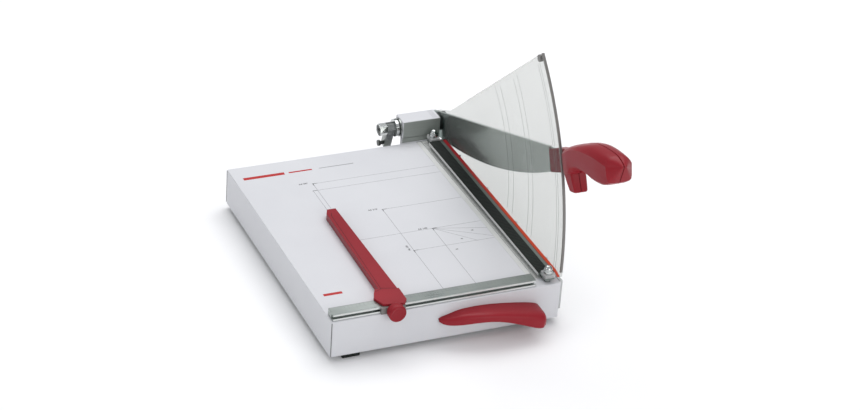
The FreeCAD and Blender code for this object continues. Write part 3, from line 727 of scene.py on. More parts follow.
@dataclass
class PaintedTable:
    """The printed guides and bars on the table, the scale beside the fence and the left corner seams."""

    line: float = 0.45
    tick: float = 0.9
    ink: float = 0.03
    plate_edge: float = -38.0
    guide_end: float = -39.0
    guide_foot: float = 1.0
    label: float = 4.2
    label_left: float = 18.5
    label_up: float = 1.5
    seam: float = 1.2
    seam_deep: float = 0.05
    second_format: Flat = (-216.0, 279.4)
    sideways_format: Flat = (-148.0, 105.0)
    middle_line: tuple[Flat, Flat] = ((-210.0, 148.0), (-105.0, 148.0))
    rays: tuple[Flat, ...] = ((-15.0, 69.0), (-30.0, 77.0), (-45.0, 62.0))
    fence_pitch: float = 5.0
    fence_marks: int = 50
    formats: tuple[tuple[str, Flat], ...] = (("A4 297", (-210.0, 297.0)), ("A5 210", (-148.0, 210.0)),
                                             ("A6 148", (-105.0, 148.0)))
    angles: tuple[tuple[str, Flat], ...] = (("30", (-60.0, 128.5)), ("45", (-81.0, 113.0)),
                                            ("60", (-97.0, 91.5)))

    def build(self) -> None:
        """Make every printed piece of the table."""
        self.print_guides()
        self.print_accents()
        self.seams()

    def print_guides(self) -> None:
        """Paper formats, angle guides and the scale beside the fence."""
        bench = Bench("table_print")
        for name, (x, y) in self.formats:
            bench.stroke((x, y), (self.guide_end, y), self.line, 0.0, self.ink)
            bench.stroke((x, y), (x, self.guide_foot), self.line, 0.0, self.ink)
            self.corner_mark(bench, x, y)
            bench.words(name, (x - self.label_left, y + self.label_up, self.ink), self.label, 0.0, 1)
        self.side_formats(bench)
        for text, (x, y) in self.angles:
            bench.words(text, (x, y, self.ink), self.label * 0.75, 0.0, 1)
        corner = self.middle_line[1]
        for degrees, long in self.rays:
            turn = math.radians(degrees)
            bench.stroke(corner, (corner[0] + long * math.cos(turn), corner[1] + long * math.sin(turn)),
                         self.line, 0.0, self.ink)
        self.fence_scale(bench)
        fit(bench.ready((Surface.PRINT_GREY, Surface.PRINT_BLACK)), Body.BASE)

    def corner_mark(self, bench: Bench, x: float, y: float) -> None:
        """Two short bold strokes at a sheet's corner."""
        bench.stroke((x - 1.0, y), (x + 6.0, y), self.tick, self.ink, self.ink, 1)
        bench.stroke((x, y), (x, y - 5.0), self.tick, self.ink, self.ink, 1)

    def side_formats(self, bench: Bench) -> None:
        """The small sheet laid sideways, the middle line and the second large format.

        Args:
            bench: where the strokes go.
        """
        x, y = self.sideways_format
        bench.stroke((x, y), (self.guide_end, y), self.line, 0.0, self.ink)
        self.corner_mark(bench, x, y)
        bench.words("A6 105", (x - 3.5, y + self.label_up, self.ink), self.label, 90.0, 1)
        bench.stroke(*self.middle_line, self.line, 0.0, self.ink)
        left, top = self.second_format
        bench.stroke((left, top), (self.guide_end, top), self.line, 0.0, self.ink)
        bench.stroke((left, top), (left, self.guide_foot), self.line, 0.0, self.ink)
        bench.stroke((left - 1.0, top), (left + 5.0, top), self.tick, self.ink, self.ink, 1)

    def fence_scale(self, bench: Bench) -> None:
        """Short marks every 5 mm along the fence, with a number at each 50 mm."""
        for step in range(1, self.fence_marks + 1):
            x = self.plate_edge - 2.0 - self.fence_pitch * step
            long = 4.0 if step % 2 else 6.5
            bench.stroke((x, 1.5), (x, 1.5 + long), 0.35, 0.0, self.ink)
            if step % 10 == 0:
                bench.words(str(step // 2), (x - 1.6, 9.0, self.ink), 3.6, 0.0, 1)

    def print_accents(self) -> None:
        """Plain coloured bars at the rear left and front left of the table."""
        bench = Bench("table_accent_bars")
        bench.stroke((-292.0, 333.0), (-236.0, 333.0), 6.0, 0.0, self.ink)
        bench.stroke((-230.0, 333.0), (-198.0, 333.0), 3.0, 0.0, self.ink)
        bench.stroke((-188.0, 333.0), (-140.0, 333.0), 1.2, 0.0, self.ink, 1)
        bench.stroke((-292.0, 41.0), (-268.0, 41.0), 5.0, 0.0, self.ink)
        fit(bench.ready((Surface.PRINT_RED, Surface.PRINT_GREY)), Body.BASE)

    def seams(self) -> None:
        """The dark joint of the folded sheet down the housing's two left corners."""
        low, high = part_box("housing")
        bench = Bench("housing_corner_seams")
        lower = (low - TABLE.origin) / MM
        upper = (high - TABLE.origin) / MM
        half = self.seam / 2
        x = lower.x + half
        for y in (lower.y, upper.y):
            bench.bar((x - half, y - self.seam_deep, lower.z + 0.6), (x + half, y + self.seam_deep, -1.6))
        fit(bench.ready((Surface.SEAM_GREY,)), Body.BASE)


@dataclass
class Rail:
    """The scale on top of the fence rail and painted highlights: pale bands along its front."""

    step: float = 5.0
    ink: float = 0.03
    mark: float = 0.3
    border: float = 0.8
    lands: tuple[Flat, ...] = ((0.5, 2.7), (6.3, 8.4))

    def build(self) -> None:
        """Marks on top of the rail, then the painted highlight bands along its front."""
        low, high = ((corner - TABLE.origin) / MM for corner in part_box("fence_rail"))
        bench = Bench("rail_scale")
        count = int((high.x - low.x - 10.0) / self.step)
        for index in range(1, count):
            x = high.x - index * self.step
            long = 5.0 if index % 2 else 8.0
            bench.stroke((x, -self.border), (x, -self.border - long), self.mark, high.z, self.ink)
        bench.stroke((low.x + 1.0, -0.6), (high.x - 1.0, -0.6), self.mark, high.z, self.ink)
        bench.stroke((low.x + 1.0, low.y + 1.4), (high.x - 1.0, low.y + 1.4), 0.4, high.z, self.ink)
        fit(bench.ready((Surface.PRINT_GREY,)), Body.BASE)
        self.painted_highlight_bands(low, high)

    def painted_highlight_bands(self, low: Vector, high: Vector) -> None:
        """Painted highlights: pale bands above and below the slot in the rail's front, where its lips catch
        the light.

        Args:
            low: the rail's lowest corner in table millimetres.
            high: its highest corner.
        """
        bench = Bench("rail_front_painted_highlights")
        for under, over in self.lands:
            # a painted highlight band on one lip of the slot
            bench.bar((low.x + 0.4, low.y - 0.08, under), (high.x - 0.4, low.y + 0.05, over))
        fit(bench.ready((Surface.RAIL_BRIGHT,)), Body.BASE)


@dataclass
class RuleStrip:
    """Fine marks on the metal strip beside the clamp."""

    step: float = 2.0
    ink: float = 0.03

    def build(self) -> None:
        """Marks every two millimetres, longer at each ten."""
        low, high = ((corner - TABLE.origin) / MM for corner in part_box("rule_strip"))
        bench = Bench("rule_marks")
        count = int((high.y - low.y - 4.0) / self.step)
        for index in range(1, count):
            y = low.y + index * self.step
            long = 5.6 if index % 5 == 0 else 3.2
            bench.stroke((low.x + 0.6, y), (low.x + 0.6 + long, y), 0.4, high.z, self.ink)
        fit(bench.ready((Surface.PRINT_BLACK,)), Body.BASE)


@dataclass(frozen=True)
class HandleStation:
    """The carry handle's section at one place along the housing front."""

    x: float
    top: float
    reach: float
    lowest: float


@dataclass
class CarryHandle:
    """Moulded scoop on the housing front: a level shelf that turns down to a lip, deep at its right."""

    stations: tuple[HandleStation, ...] = (
        HandleStation(-166.0, -19.9, 4.0, -23.4), HandleStation(-162.0, -18.4, 7.5, -25.2),
        HandleStation(-154.0, -16.4, 12.0, -26.0), HandleStation(-140.0, -12.8, 17.0, -25.0),
        HandleStation(-120.0, -11.5, 22.0, -22.8), HandleStation(-102.0, -12.1, 25.0, -23.0),
        HandleStation(-84.0, -13.9, 27.0, -26.5), HandleStation(-64.0, -16.7, 29.0, -33.0),
        HandleStation(-48.0, -19.6, 30.0, -39.0), HandleStation(-38.0, -22.4, 29.5, -41.0),
        HandleStation(-34.0, -24.6, 27.0, -39.0))
    thick: float = 4.2
    cuts: int = 64
    across: int = 16

    def station(self, x: float) -> HandleStation:
        """The section's sizes at any place, by smooth curves through the stations."""
        tops = [(item.x, item.top) for item in self.stations]
        reaches = [(item.x, item.reach) for item in self.stations]
        lows = [(item.x, item.lowest) for item in self.stations]
        return HandleStation(x, through(tops, x), through(reaches, x), through(lows, x))

    def section(self, x: float, wall: float) -> list[Spot]:
        """The closed section at one place along the handle.

        Args:
            x: place along the housing front.
            wall: Y of the housing front.

        Returns:
            Points over the top from the wall to the lip and back underneath.
        """
        here = self.station(x)
        reach, drop = here.reach, here.top - here.lowest
        inward, deep = min(self.thick, 0.5 * reach), min(self.thick, 0.6 * drop)
        over = [(0.0, 0.0), (0.40 * reach, 0.01 * drop), (0.72 * reach, 0.03 * drop),
                (0.90 * reach, 0.14 * drop), (0.985 * reach, 0.34 * drop), (reach, 0.60 * drop),
                (0.97 * reach, 0.96 * drop), (0.955 * reach, drop)]
        under = [(0.95 * reach - 0.75 * inward, drop), (0.94 * reach - inward, 0.94 * drop),
                 (reach - 1.05 * inward, 0.60 * drop), (0.86 * (reach - inward), 0.34 * drop + 0.3 * deep),
                 (0.50 * (reach - inward), deep), (0.0, deep)]
        return [(x, wall - out, here.top - down) for out, down in self.rounded(over) + self.rounded(under)]

    def rounded(self, points: Sequence[Flat]) -> list[Flat]:
        """More points on a smooth curve through a few.

        Args:
            points: the curve's corners.

        Returns:
            Evenly spaced points by a Catmull-Rom curve.
        """
        found = []
        spans = len(points) - 1
        for step in range(self.across + 1):
            place = spans * step / self.across
            index = min(int(place), spans - 1)
            part = place - index
            around = [points[min(max(index + shift, 0), spans)] for shift in (-1, 0, 1, 2)]
            found.append(tuple(
                0.5 * (2 * b + (c - a) * part + (2 * a - 5 * b + 4 * c - d) * part ** 2
                       + (3 * b - a - 3 * c + d) * part ** 3)
                for a, b, c, d in zip(*around)))
        return found

    def build(self) -> None:
        """Loft the sections, closer together near the rounded ends."""
        wall = (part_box("carry_handle")[1].y - TABLE.origin.y) / MM
        left, right = self.stations[0].x, self.stations[-1].x
        bench = Bench("carry_handle_grip")
        rings = []
        for step in range(self.cuts + 1):
            share = 0.5 - 0.5 * math.cos(math.pi * step / self.cuts)
            rings.append(self.section(left + (right - left) * share, wall))
        bench.loft(rings)
        piece = bench.ready((Surface.RED_PLASTIC,), 50.0)
        soften(piece, 1.1, 3, 50.0)
        fit(piece, Body.BASE, ("carry_handle",))


@dataclass
class BearingBlock:
    """The block behind the table: white paint above and at its end, a darker grey on the faces towards the
    table.
    """

    left: float = -57.0
    right: float = -3.0
    side: float = 25.4
    foot_back: float = 373.0
    foot_front: float = 364.0
    foot_low: float = -38.0
    bore: float = 8.6
    edge: float = 1.4
    corner_steps: int = 6
    neck_low: float = -0.5
    neck_lap: float = 2.0
    front_facing: float = -0.8
    line_offsets: tuple[float, ...] = (5.0, 7.0, 9.5)
    line_half: float = 11.0
    line_wide: float = 0.35
    ink: float = 0.03

    def build(self) -> None:
        """Make the block with its end bores, its neck and its foot plate."""
        pivot = (TABLE.pivot - TABLE.origin) / MM
        half = self.side / 2
        bench = Bench("bearing_block_casting")
        outline = self.square_ring(pivot.y, pivot.z, half)
        hole = self.round_ring(pivot.y, pivot.z, len(outline))
        self.bored_bar(bench, outline, hole)
        bench.bar((self.left, pivot.y - half, self.neck_low),
                  (self.right, self.foot_back, pivot.z - half + self.neck_lap))
        bench.bar((self.left, self.foot_front, self.foot_low), (self.right, self.foot_back, self.neck_low))
        piece = bench.ready((Surface.WHITE_PAINT, Surface.MILLED_GREY), 30.0)
        self.darken_front_faces(piece)
        fit(piece, Body.BASE, ("bearing_block",))
        self.edge_lines(pivot.y, pivot.z + half)

    def square_ring(self, y: float, z: float, half: float) -> list[Flat]:
        """A square with rounded corners, as points in the Y-Z plane.

        Args:
            y: the square's middle.
            z: the height of its middle.
            half: half of its side.

        Returns:
            The ring's points, corner by corner.
        """
        ring = []
        for corner in range(4):
            turn = math.pi / 4 + corner * math.pi / 2
            middle = (y + math.copysign(half - self.edge, math.cos(turn)),
                      z + math.copysign(half - self.edge, math.sin(turn)))
            for step in range(self.corner_steps):
                angle = corner * math.pi / 2 + math.pi / 2 * step / (self.corner_steps - 1)
                ring.append((middle[0] + self.edge * math.cos(angle),
                             middle[1] + self.edge * math.sin(angle)))
        return ring

    def round_ring(self, y: float, z: float, count: int) -> list[Flat]:
        """A circle with points that face those of the square ring."""
        ring = []
        for index in range(count):
            corner, step = divmod(index, self.corner_steps)
            angle = corner * math.pi / 2 + math.pi / 2 * (step + 0.5) / self.corner_steps
            ring.append((y + self.bore * math.cos(angle), z + self.bore * math.sin(angle)))
        return ring

    def bored_bar(self, bench: Bench, outline: Sequence[Flat], hole: Sequence[Flat]) -> None:
        """A bar with a round bore along X.

        Args:
            bench: where the faces go.
            outline: the outside ring.
            hole: the bore's ring, point for point.
        """
        inset = self.edge * 0.6
        middle = [sum(point[axis] for point in outline) / len(outline) for axis in (0, 1)]
        shrink = 1 - inset / (self.side / 2)
        small = [tuple(middle[axis] + (point[axis] - middle[axis]) * shrink for axis in (0, 1))
                 for point in outline]
        loops = [(self.left, hole), (self.left, small), (self.left + inset, outline),
                 (self.right - inset, outline), (self.right, small), (self.right, hole)]
        rows = [[bench.mesh.verts.new(TABLE.at((x, *point))) for point in ring] for x, ring in loops]
        for first, second in zip(rows, rows[1:] + rows[:1]):
            for index in range(len(first)):
                following = (index + 1) % len(first)
                bench.mesh.faces.new((first[index], first[following], second[following], second[index]))

    def darken_front_faces(self, piece: bpy.types.Object) -> None:
        """Give the faces that look to the table the darker grey finish."""
        for polygon in piece.data.polygons:
            # faces that look towards the table are coloured darker grey than the rest of the block
            if polygon.normal.y < self.front_facing:
                polygon.material_index = 1

    def edge_lines(self, y: float, top: float) -> None:
        """Three fine machined lines across the top near the blade."""
        bench = Bench("bearing_block_lines")
        for offset in self.line_offsets:
            x = self.right - offset
            bench.stroke((x, y - self.line_half), (x, y + self.line_half), self.line_wide, top, self.ink)
        fit(bench.ready((Surface.PRINT_GREY,)), Body.BASE)


@dataclass
class ArmHandle:
    """Two moulded shells on the blade's end, split on its middle plane."""

    split: float = 2.3
    seam: float = 0.35
    tip: float = 545.0
    nose: float = 530.5
    start: float = 395.0
    ridge: float = 15.4
    top: tuple[Flat, ...] = ((395, 15.5), (425, 25.0), (460, 31.8), (485, 33.6), (510, 30.9),
                             (529, 26.8), (539, 21.5), (545, 16.2))
    bottom: tuple[Flat, ...] = ((395, -15.0), (399, -14.5), (426, -9.0), (432, -3.0), (445, 0.3),
                                (468, -1.0), (490, -6.5), (510, -8.8), (522, -7.8), (531, -4.6))
    half: tuple[Flat, ...] = ((395, 3.2), (401, 10.2), (415, 16.0), (437, 18.3), (500, 18.5), (531, 17.0))
    crease: tuple[Flat, ...] = ((395, 12.0), (405, 18.0), (417, 21.6), (450, 24.6), (478, 24.8),
                                (507, 21.4), (531, 15.8), (545, 15.4))
    stations: int = 56
    nose_stations: int = 6
    nose_low: float = 0.8
    nose_half: float = 3.0
    keel: float = 3.4
    keel_start: float = 426.0
    keel_end: float = 500.0
    keel_rise: float = 12.0
    keel_fall: float = 30.0
    prong: tuple[tuple[float, float, float, float], ...] = (
        (-4.0, 400.0, 422.5, 10.3), (-12.0, 402.5, 423.0, 10.3), (-24.0, 408.0, 425.5, 9.6),
        (-31.0, 411.5, 427.3, 8.8), (-32.5, 413.0, 426.6, 7.8))
    prong_edge: float = 1.6
    bolster_left: float = 1.9
    bolster_right: float = 10.0
    bolster_outline: tuple[Flat, ...] = ((347.5, 9.5), (371.0, 13.9), (396.5, 15.4), (396.5, -14.8),
                                         (379.0, -15.2), (349.5, -18.9))

    def ring(self, reach: float, side: float) -> list[Spot]:
        """One shell's section at a reach.

        Args:
            reach: distance along the arm.
            side: -1 for the left shell and 1 for the right one.

        Returns:
            Points from the seam's top round the outside to its bottom.
        """
        top = through(self.top, reach)
        bottom = through(self.bottom, min(reach, self.nose))
        wide = through(self.half, min(reach, self.nose))
        if reach > self.nose:
            share = (reach - self.nose) / (self.tip - self.nose)
            bottom += (self.ridge - self.nose_low - bottom) * share
            wide += (self.nose_half - wide) * share
        edge = min(max(through(self.crease, reach), bottom + 0.25 * (top - bottom)),
                   top - 0.2 * (top - bottom))
        low = edge - bottom
        keel = (self.keel * smooth_step((reach - self.keel_start) / self.keel_rise)
                * smooth_step((self.keel_end - reach) / self.keel_fall))
        rise = top - edge
        shape = [(self.seam, top - 0.5), (self.seam + 0.5, top), (0.26 * wide, top - 0.02 * rise),
                 (0.48 * wide, top - 0.10 * rise), (0.66 * wide, top - 0.24 * rise),
                 (0.80 * wide, top - 0.45 * rise), (0.91 * wide, top - 0.72 * rise), (wide, edge),
                 (0.98 * wide, edge - 0.35 * low), (0.95 * wide, edge - 0.70 * low),
                 (0.89 * wide, edge - 0.88 * low), (0.76 * wide, edge - 0.97 * low),
                 (0.48 * wide, bottom - 0.6 * keel), (self.seam + 0.5, bottom - keel),
                 (self.seam, bottom - keel + 0.5)]
        return [TABLE.arm(self.split + side * max(out, self.seam), reach, height) for out, height in shape]

    def shell(self, name: str, side: float, node: str) -> None:
        """One half of the grip with its half of the fork and of the bolster.

        Args:
            name: the piece's name.
            side: -1 for the left shell and 1 for the right one.
            node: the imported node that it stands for.
        """
        bench = Bench(name)
        body = [self.start + (self.nose - self.start) * step / self.stations
                for step in range(self.stations + 1)]
        nose = [self.nose + (self.tip - self.nose) * step / self.nose_stations
                for step in range(1, self.nose_stations + 1)]
        bench.loft([self.ring(reach, side) for reach in body + nose])
        self.fork(bench, side)
        self.bolster(bench, side)
        piece = bench.ready((Surface.RED_PLASTIC,), 24.0)
        soften(piece, 0.6, 2, 55.0)
        fit(piece, Body.ARM, (node,))

    def fork(self, bench: Bench, side: float) -> None:
        """The prong below the grip, tapered towards its end.

        Args:
            bench: where the faces go.
            side: -1 for the left half and 1 for the right one.
        """
        rows = []
        near, edge = self.seam, self.prong_edge
        for low, front, back, wide in self.prong:
            outline = [(near, front), (wide - edge, front), (wide, front + edge), (wide, back - edge),
                       (wide - edge, back), (near, back)]
            rows.append([TABLE.arm(self.split + side * out, reach, low) for out, reach in outline])
        bench.loft(rows)

    def bolster(self, bench: Bench, side: float) -> None:
        """The block where the blade enters the handle."""
        outer = self.bolster_left if side < 0 else self.bolster_right
        near = [TABLE.arm(self.split + side * self.seam, *spot) for spot in self.bolster_outline]
        far = [TABLE.arm(self.split + side * outer, *spot) for spot in self.bolster_outline]
        bench.loft([near, far])

    def build(self) -> None:
        """Both shells."""
        self.shell("handle_left_grip", -1.0, "handle_left_shell")
        self.shell("handle_right_grip", 1.0, "handle_right_shell")


@dataclass
class ClampDetail:
    """The ribbed grip strip and edge strips of the clamp, and on the guard its etched lines with their
    painted reflections and a painted highlight along its edge.
    """

    rib: float = 3.4
    grip_wide: float = 14.6
    guard_face: float = -4.0
    line: float = 0.5
    middle: Flat = (320.2, 20.7)
    # each pair is an etched line and its painted reflection
    pairs: tuple[Flat, ...] = ((175.0, 190.0), (234.0, 247.0), (314.0, 319.0))
    slope: float = 39.8
    top_corner: Flat = (90.6, 261.0)
    slope_ends: Flat = (100.0, 288.0)
    edge_band: Flat = (2.4, 0.2)
    arc_foot: float = 9.5
    arc_steps: int = 40
    arc_sweep: float = 85.0
    arc_below: float = 2.0
    face_strip: float = 0.5
    tick_step: float = 4.0
    tongue_wide: float = 3.4
    tongue: tuple[Spot, ...] = ((-5.0, 0.4, 0.6), (-9.0, 0.4, 2.2), (-12.4, 0.6, 3.2))

    def build(self) -> None:
        """The strips, the etched lines with their painted reflections and the painted highlight along the
        guard's edge.
        """
        self.grip_strip()
        self.edge_strips()
        self.guard_lines()
        self.guard_slope_edge()

    def grip_strip(self) -> None:
        """A rubber strip with a rib every few millimetres, as one closed section along the clamp."""
        low, high = ((corner - TABLE.origin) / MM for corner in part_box("grip_strip"))
        bench = Bench("grip_strip_ribs")
        outline: list[Spot] = [(low.x, low.y, low.z)]
        count = int((high.y - low.y) / self.rib)
        pitch = (high.y - low.y) / count
        for index in range(count):
            y = low.y + index * pitch
            outline += [(low.x, y, low.z + 0.35), (low.x, y + 0.30 * pitch, high.z),
                        (low.x, y + 0.70 * pitch, high.z), (low.x, y + pitch, low.z + 0.35)]
        outline.append((low.x, high.y, low.z))
        clean = [spot for index, spot in enumerate(outline) if index == 0 or spot != outline[index - 1]]
        bench.prism(clean, (self.grip_wide, 0.0, 0.0))
        fit(bench.ready((Surface.BLACK_RUBBER,), 20.0), Body.CLAMP, ("grip_strip",))

    def edge_strips(self) -> None:
        """A satin strip with ticks on the clamp's left face, and the red strip's tongue at its front end."""
        low, high = ((corner - TABLE.origin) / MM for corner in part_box("clamp_bar"))
        start, end = ((corner - TABLE.origin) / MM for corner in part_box("red_line_strip"))
        bench = Bench("clamp_face_strip")
        bench.bar((low.x - self.face_strip, start.y, low.z + 0.2), (low.x + 0.02, end.y, high.z - 0.2))
        for index in range(int((end.y - start.y) / self.tick_step)):
            y = start.y + self.tick_step * (index + 0.5)
            bench.bar((low.x - 0.55, y - 0.2, low.z + 0.4), (low.x - 0.45, y + 0.2, high.z - 0.9), 1)
        fit(bench.ready((Surface.RULE_METAL, Surface.PRINT_GREY)), Body.CLAMP)
        tongue = Bench("red_line_tongue")
        rows = []
        for y, shift, drop in ((start.y + 0.6, 0.2, 0.2), *self.tongue):
            left, under = start.x + shift, start.z - drop
            right, over = left + self.tongue_wide, under + 1.0
            rows.append([(left, y, under), (right, y, under), (right, y, over), (left, y, over)])
        tongue.loft(rows)
        fit(tongue.ready((Surface.RED_STRIP,)), Body.CLAMP)

    def slope_height(self, y: float) -> float:
        """The height of the guard's slope at a place along the table."""
        return self.top_corner[1] - (y - self.top_corner[0]) * math.tan(math.radians(self.slope))

    def guard_slope_edge(self) -> None:
        """Painted highlight: a pale hazy band on the guard's left face along its slope edge."""
        bench = Bench("guard_edge_painted_highlight")
        under, over = self.edge_band
        lower = [(self.guard_face, y, self.slope_height(y) - under) for y in self.slope_ends]
        upper = [(self.guard_face, y, self.slope_height(y) - over) for y in self.slope_ends]
        outline = lower + upper[::-1]
        # painted highlight, laid thinly on the guard's face
        bench.prism(outline, (-0.04, 0.0, 0.0))
        fit(bench.ready((Surface.CLEAR_EDGE,)), Body.CLAMP)

    def guard_lines(self) -> None:
        """Three pairs of thin dark arcs about the pivot end, on the guard's left face: in each pair one arc
        is the etched line and the other its painted reflection.
        """
        bench = Bench("guard_lines")
        for pair in self.pairs:
            for radius in pair:
                self.arc(bench, radius)
        fit(bench.ready((Surface.ETCHED_LINE,)), Body.CLAMP)

    def arc(self, bench: Bench, radius: float) -> None:
        """One etched arc from the guard's foot up to its slope.

        Args:
            bench: where the faces go.
            radius: distance of the arc from the guard's centre.
        """
        points = []
        for step in range(self.arc_steps + 1):
            angle = math.radians(self.arc_sweep * step / self.arc_steps - self.arc_below)
            y = self.middle[0] - radius * math.cos(angle)
            z = self.middle[1] + radius * math.sin(angle)
            if self.arc_foot <= z <= self.slope_height(y) - 1.0:
                points.append((y, z, angle))
        near = []
        far = []
        for y, z, angle in points:
            shift = self.line / 2
            near.append((self.guard_face, y - shift * math.cos(angle), z + shift * math.sin(angle)))
            far.append((self.guard_face, y + shift * math.cos(angle), z - shift * math.sin(angle)))
        bench.prism(near + far[::-1], (-0.03, 0.0, 0.0))


@dataclass
class Springs:
    """The coil of the return spring, and the two springs under the clamp's yoke."""

    wire: float = 1.3
    turn_steps: int = 20
    return_turns: float = 13.0
    post_turns: float = 4.5
    post_gap: float = 0.7

    def build(self) -> None:
        """Both kinds of spring."""
        self.return_spring()
        self.post_springs()

    def helix(self, centre: Flat, radius: float, low: float, high: float, turns: float) -> list[Spot]:
        """Points along a coil that stands upright.

        Args:
            centre: its axis in X and Y.
            radius: from the axis to the wire's middle.
            low: height of its first point.
            high: height of its last point.
            turns: how often it goes round.

        Returns:
            The centreline of the wire.
        """
        steps = int(turns * self.turn_steps)
        return [(centre[0] + radius * math.cos(math.tau * turns * step / steps),
                 centre[1] + radius * math.sin(math.tau * turns * step / steps),
                 low + (high - low) * step / steps) for step in range(steps + 1)]

    def return_spring(self) -> None:
        """A close-wound upright coil on the anchor."""
        low, high = ((corner - TABLE.origin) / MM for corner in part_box("return_spring"))
        middle = ((low.x + high.x) / 2, (low.y + high.y) / 2)
        radius = (high.x - low.x) / 2 - self.wire / 2
        bench = Bench("return_spring_coil")
        coil = self.helix(middle, radius, low.z + self.wire, high.z - self.wire, self.return_turns)
        bench.tube(coil, self.wire / 2)
        fit(bench.ready((Surface.DARK_STEEL,), 60.0), Body.BASE, ("return_spring",))

    def post_springs(self) -> None:
        """Two short open coils below the yoke."""
        low, high = ((corner - TABLE.origin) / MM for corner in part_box("post_springs"))
        node = frame["nodes"]["post_springs"].data
        places = [(vertex.co.y - TABLE.origin.y) / MM for vertex in node.vertices]
        middle = (low.y + high.y) / 2
        radius = (high.x - low.x) / 2 - self.wire / 2
        foot, head = low.z + self.post_gap, high.z - self.post_gap
        bench = Bench("post_spring_coils")
        for start, end in ((low.y, middle), (middle, high.y)):
            inside = [place for place in places if start <= place <= end]
            centre = ((low.x + high.x) / 2, (min(inside) + max(inside)) / 2)
            bench.tube(self.helix(centre, radius, foot, head, self.post_turns), self.wire / 2)
        piece = bench.ready((Surface.DARK_STEEL,), 60.0)
        TABLE.at((low.x, low.y, low.z))
        TABLE.at((low.x, low.y, high.z))
        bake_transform(piece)
        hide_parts("post_springs")
        LOG.info("%s stretches between %s and %s", piece.name, Body.BASE.value, Body.CLAMP.value)


@dataclass
class GaugeCreaseShade:
    """A dark red line of painted shade along the crease on top of the backgauge's beam and the fold across
    its head.
    """

    wide: float = 0.7
    rise: float = 0.04
    beam_top: float = 9.5
    end: Flat = (-219.5, 206.0)
    tip: Flat = (-222.0, 199.0)
    root: Flat = (-226.6, 20.0)
    fold: tuple[Flat, ...] = ((-237.5, 12.0), (-226.6, 16.5), (-209.0, 12.0))

    def build(self) -> None:
        """Painted shade: two thin dark lines on the beam and a bent one on the head."""
        head_top = (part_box("backgauge")[1].z - TABLE.origin.z) / MM
        bench = Bench("gauge_crease_shade")
        bench.stroke(self.tip, self.root, self.wide, self.beam_top, self.rise)
        bench.stroke(self.end, self.tip, self.wide, self.beam_top, self.rise)
        for start, end in zip(self.fold, self.fold[1:]):
            bench.stroke(start, end, self.wide, head_top, self.rise)
        fit(bench.ready((Surface.RED_CREASE,)), Body.GAUGE)


@dataclass
class Knob:
    """The round clamping knob on the backgauge, fluted round its rim and dished in front."""

    flutes: int = 36
    flute: float = 0.22
    rim: float = 1.6
    play: float = 0.7

    def build(self) -> None:
        """Turn the knob, with fine flutes on its rim."""
        low, high = ((corner - TABLE.origin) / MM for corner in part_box("clamp_knob"))
        radius = (high.x - low.x) / 2 - self.play
        centre = ((low.x + high.x) / 2, low.y, (low.z + high.z) / 2)
        long = high.y - low.y
        profile = [(0.9, 0.4), (0.9, 0.50 * radius), (0.75, 0.66 * radius), (0.2, 0.76 * radius),
                   (0.0, 0.82 * radius), (0.25, radius - 0.9), (0.9, radius - 0.25), (self.rim, radius),
                   (long - 1.2, radius), (long - 0.4, radius - 0.35), (long, radius - 1.2), (long, 0.4)]
        bench = Bench("clamp_knob_grip")
        steps = self.flutes * 4
        rings = []
        for along, size in profile:
            ring = []
            for step in range(steps):
                angle = math.tau * step / steps
                groove = self.flute if step % 4 == 0 and size > radius - 0.5 else 0.0
                ring.append((centre[0] + (size - groove) * math.cos(angle), low.y + along,
                             centre[2] + (size - groove) * math.sin(angle)))
            rings.append(ring)
        bench.loft(rings)
        fit(bench.ready((Surface.RED_PLASTIC,), 40.0), Body.KNOB, ("clamp_knob",))


@dataclass
class CapNuts:
    """Chrome domed nuts on the two guide posts.

    A quarter turn has slightly more than dome_steps steps, so that the dome ends in a small flat.
    """

    skirt: float = 6.0
    dome: float = 5.3
    dome_foot: float = 4.6
    dome_steps: int = 9
    quarter_steps: float = 9.2

    def build(self) -> None:
        """Both nuts as one group."""
        low, high = ((corner - TABLE.origin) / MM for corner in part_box("cap_nuts"))
        reach = (high.x - low.x) / 2
        centre_x = (low.x + high.x) / 2
        bench = Bench("cap_nut_domes")
        for y in (low.y + reach, high.y - reach):
            profile = [(0.0, 4.0), (0.0, 5.5), (0.5, self.skirt), (3.6, self.skirt), (4.1, 5.7),
                       (4.4, self.dome)]
            tall = high.z - low.z - self.dome_foot
            for step in range(1, self.dome_steps + 1):
                angle = math.pi / 2 * step / self.quarter_steps
                profile.append((self.dome_foot + tall * math.sin(angle), self.dome * math.cos(angle)))
            bench.lathe(profile, (centre_x, y, low.z), "z", 48)
        fit(bench.ready((Surface.CHROME,), 35.0), Body.CLAMP, ("cap_nuts",))


@dataclass
class CarriedNodes:
    """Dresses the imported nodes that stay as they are."""

    rounded: dict[str, float] = field(default_factory=lambda: {
        "backgauge": 0.7, "fence_rail": 0.35, "clamp_bar": 0.4, "end_blocks": 0.5, "shaft_nut": 0.5,
        "shaft_lever": 0.5, "lower_knife": 0.3, "edge_strip": 0.25, "rule_strip": 0.2,
    })
    clear: tuple[str, ...] = ("end_blocks",)
    weld_gap: float = 1e-6

    def build(self) -> None:
        """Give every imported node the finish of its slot, and round the edges of some."""
        slots = dict(self.node_slots())
        for name, node in frame["nodes"].items():
            surface = Surface.CLEAR_EDGE if name in self.clear else SLOT_SURFACES[slots[name]]
            for index in range(len(node.material_slots)):
                node.material_slots[index].material = surface.material
            if name in self.rounded:
                weld = node.modifiers.new("weld", "WELD")
                weld.merge_threshold = self.weld_gap
                soften(node, self.rounded[name], 2, 32.0)
            LOG.info("%s is dressed as %s", name, surface.name.lower())

    def node_slots(self) -> Iterable[tuple[str, str]]:
        """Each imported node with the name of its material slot."""
        for name, node in frame["nodes"].items():
            material = node.material_slots[0].material.name
            yield name, material.split(".")[0]


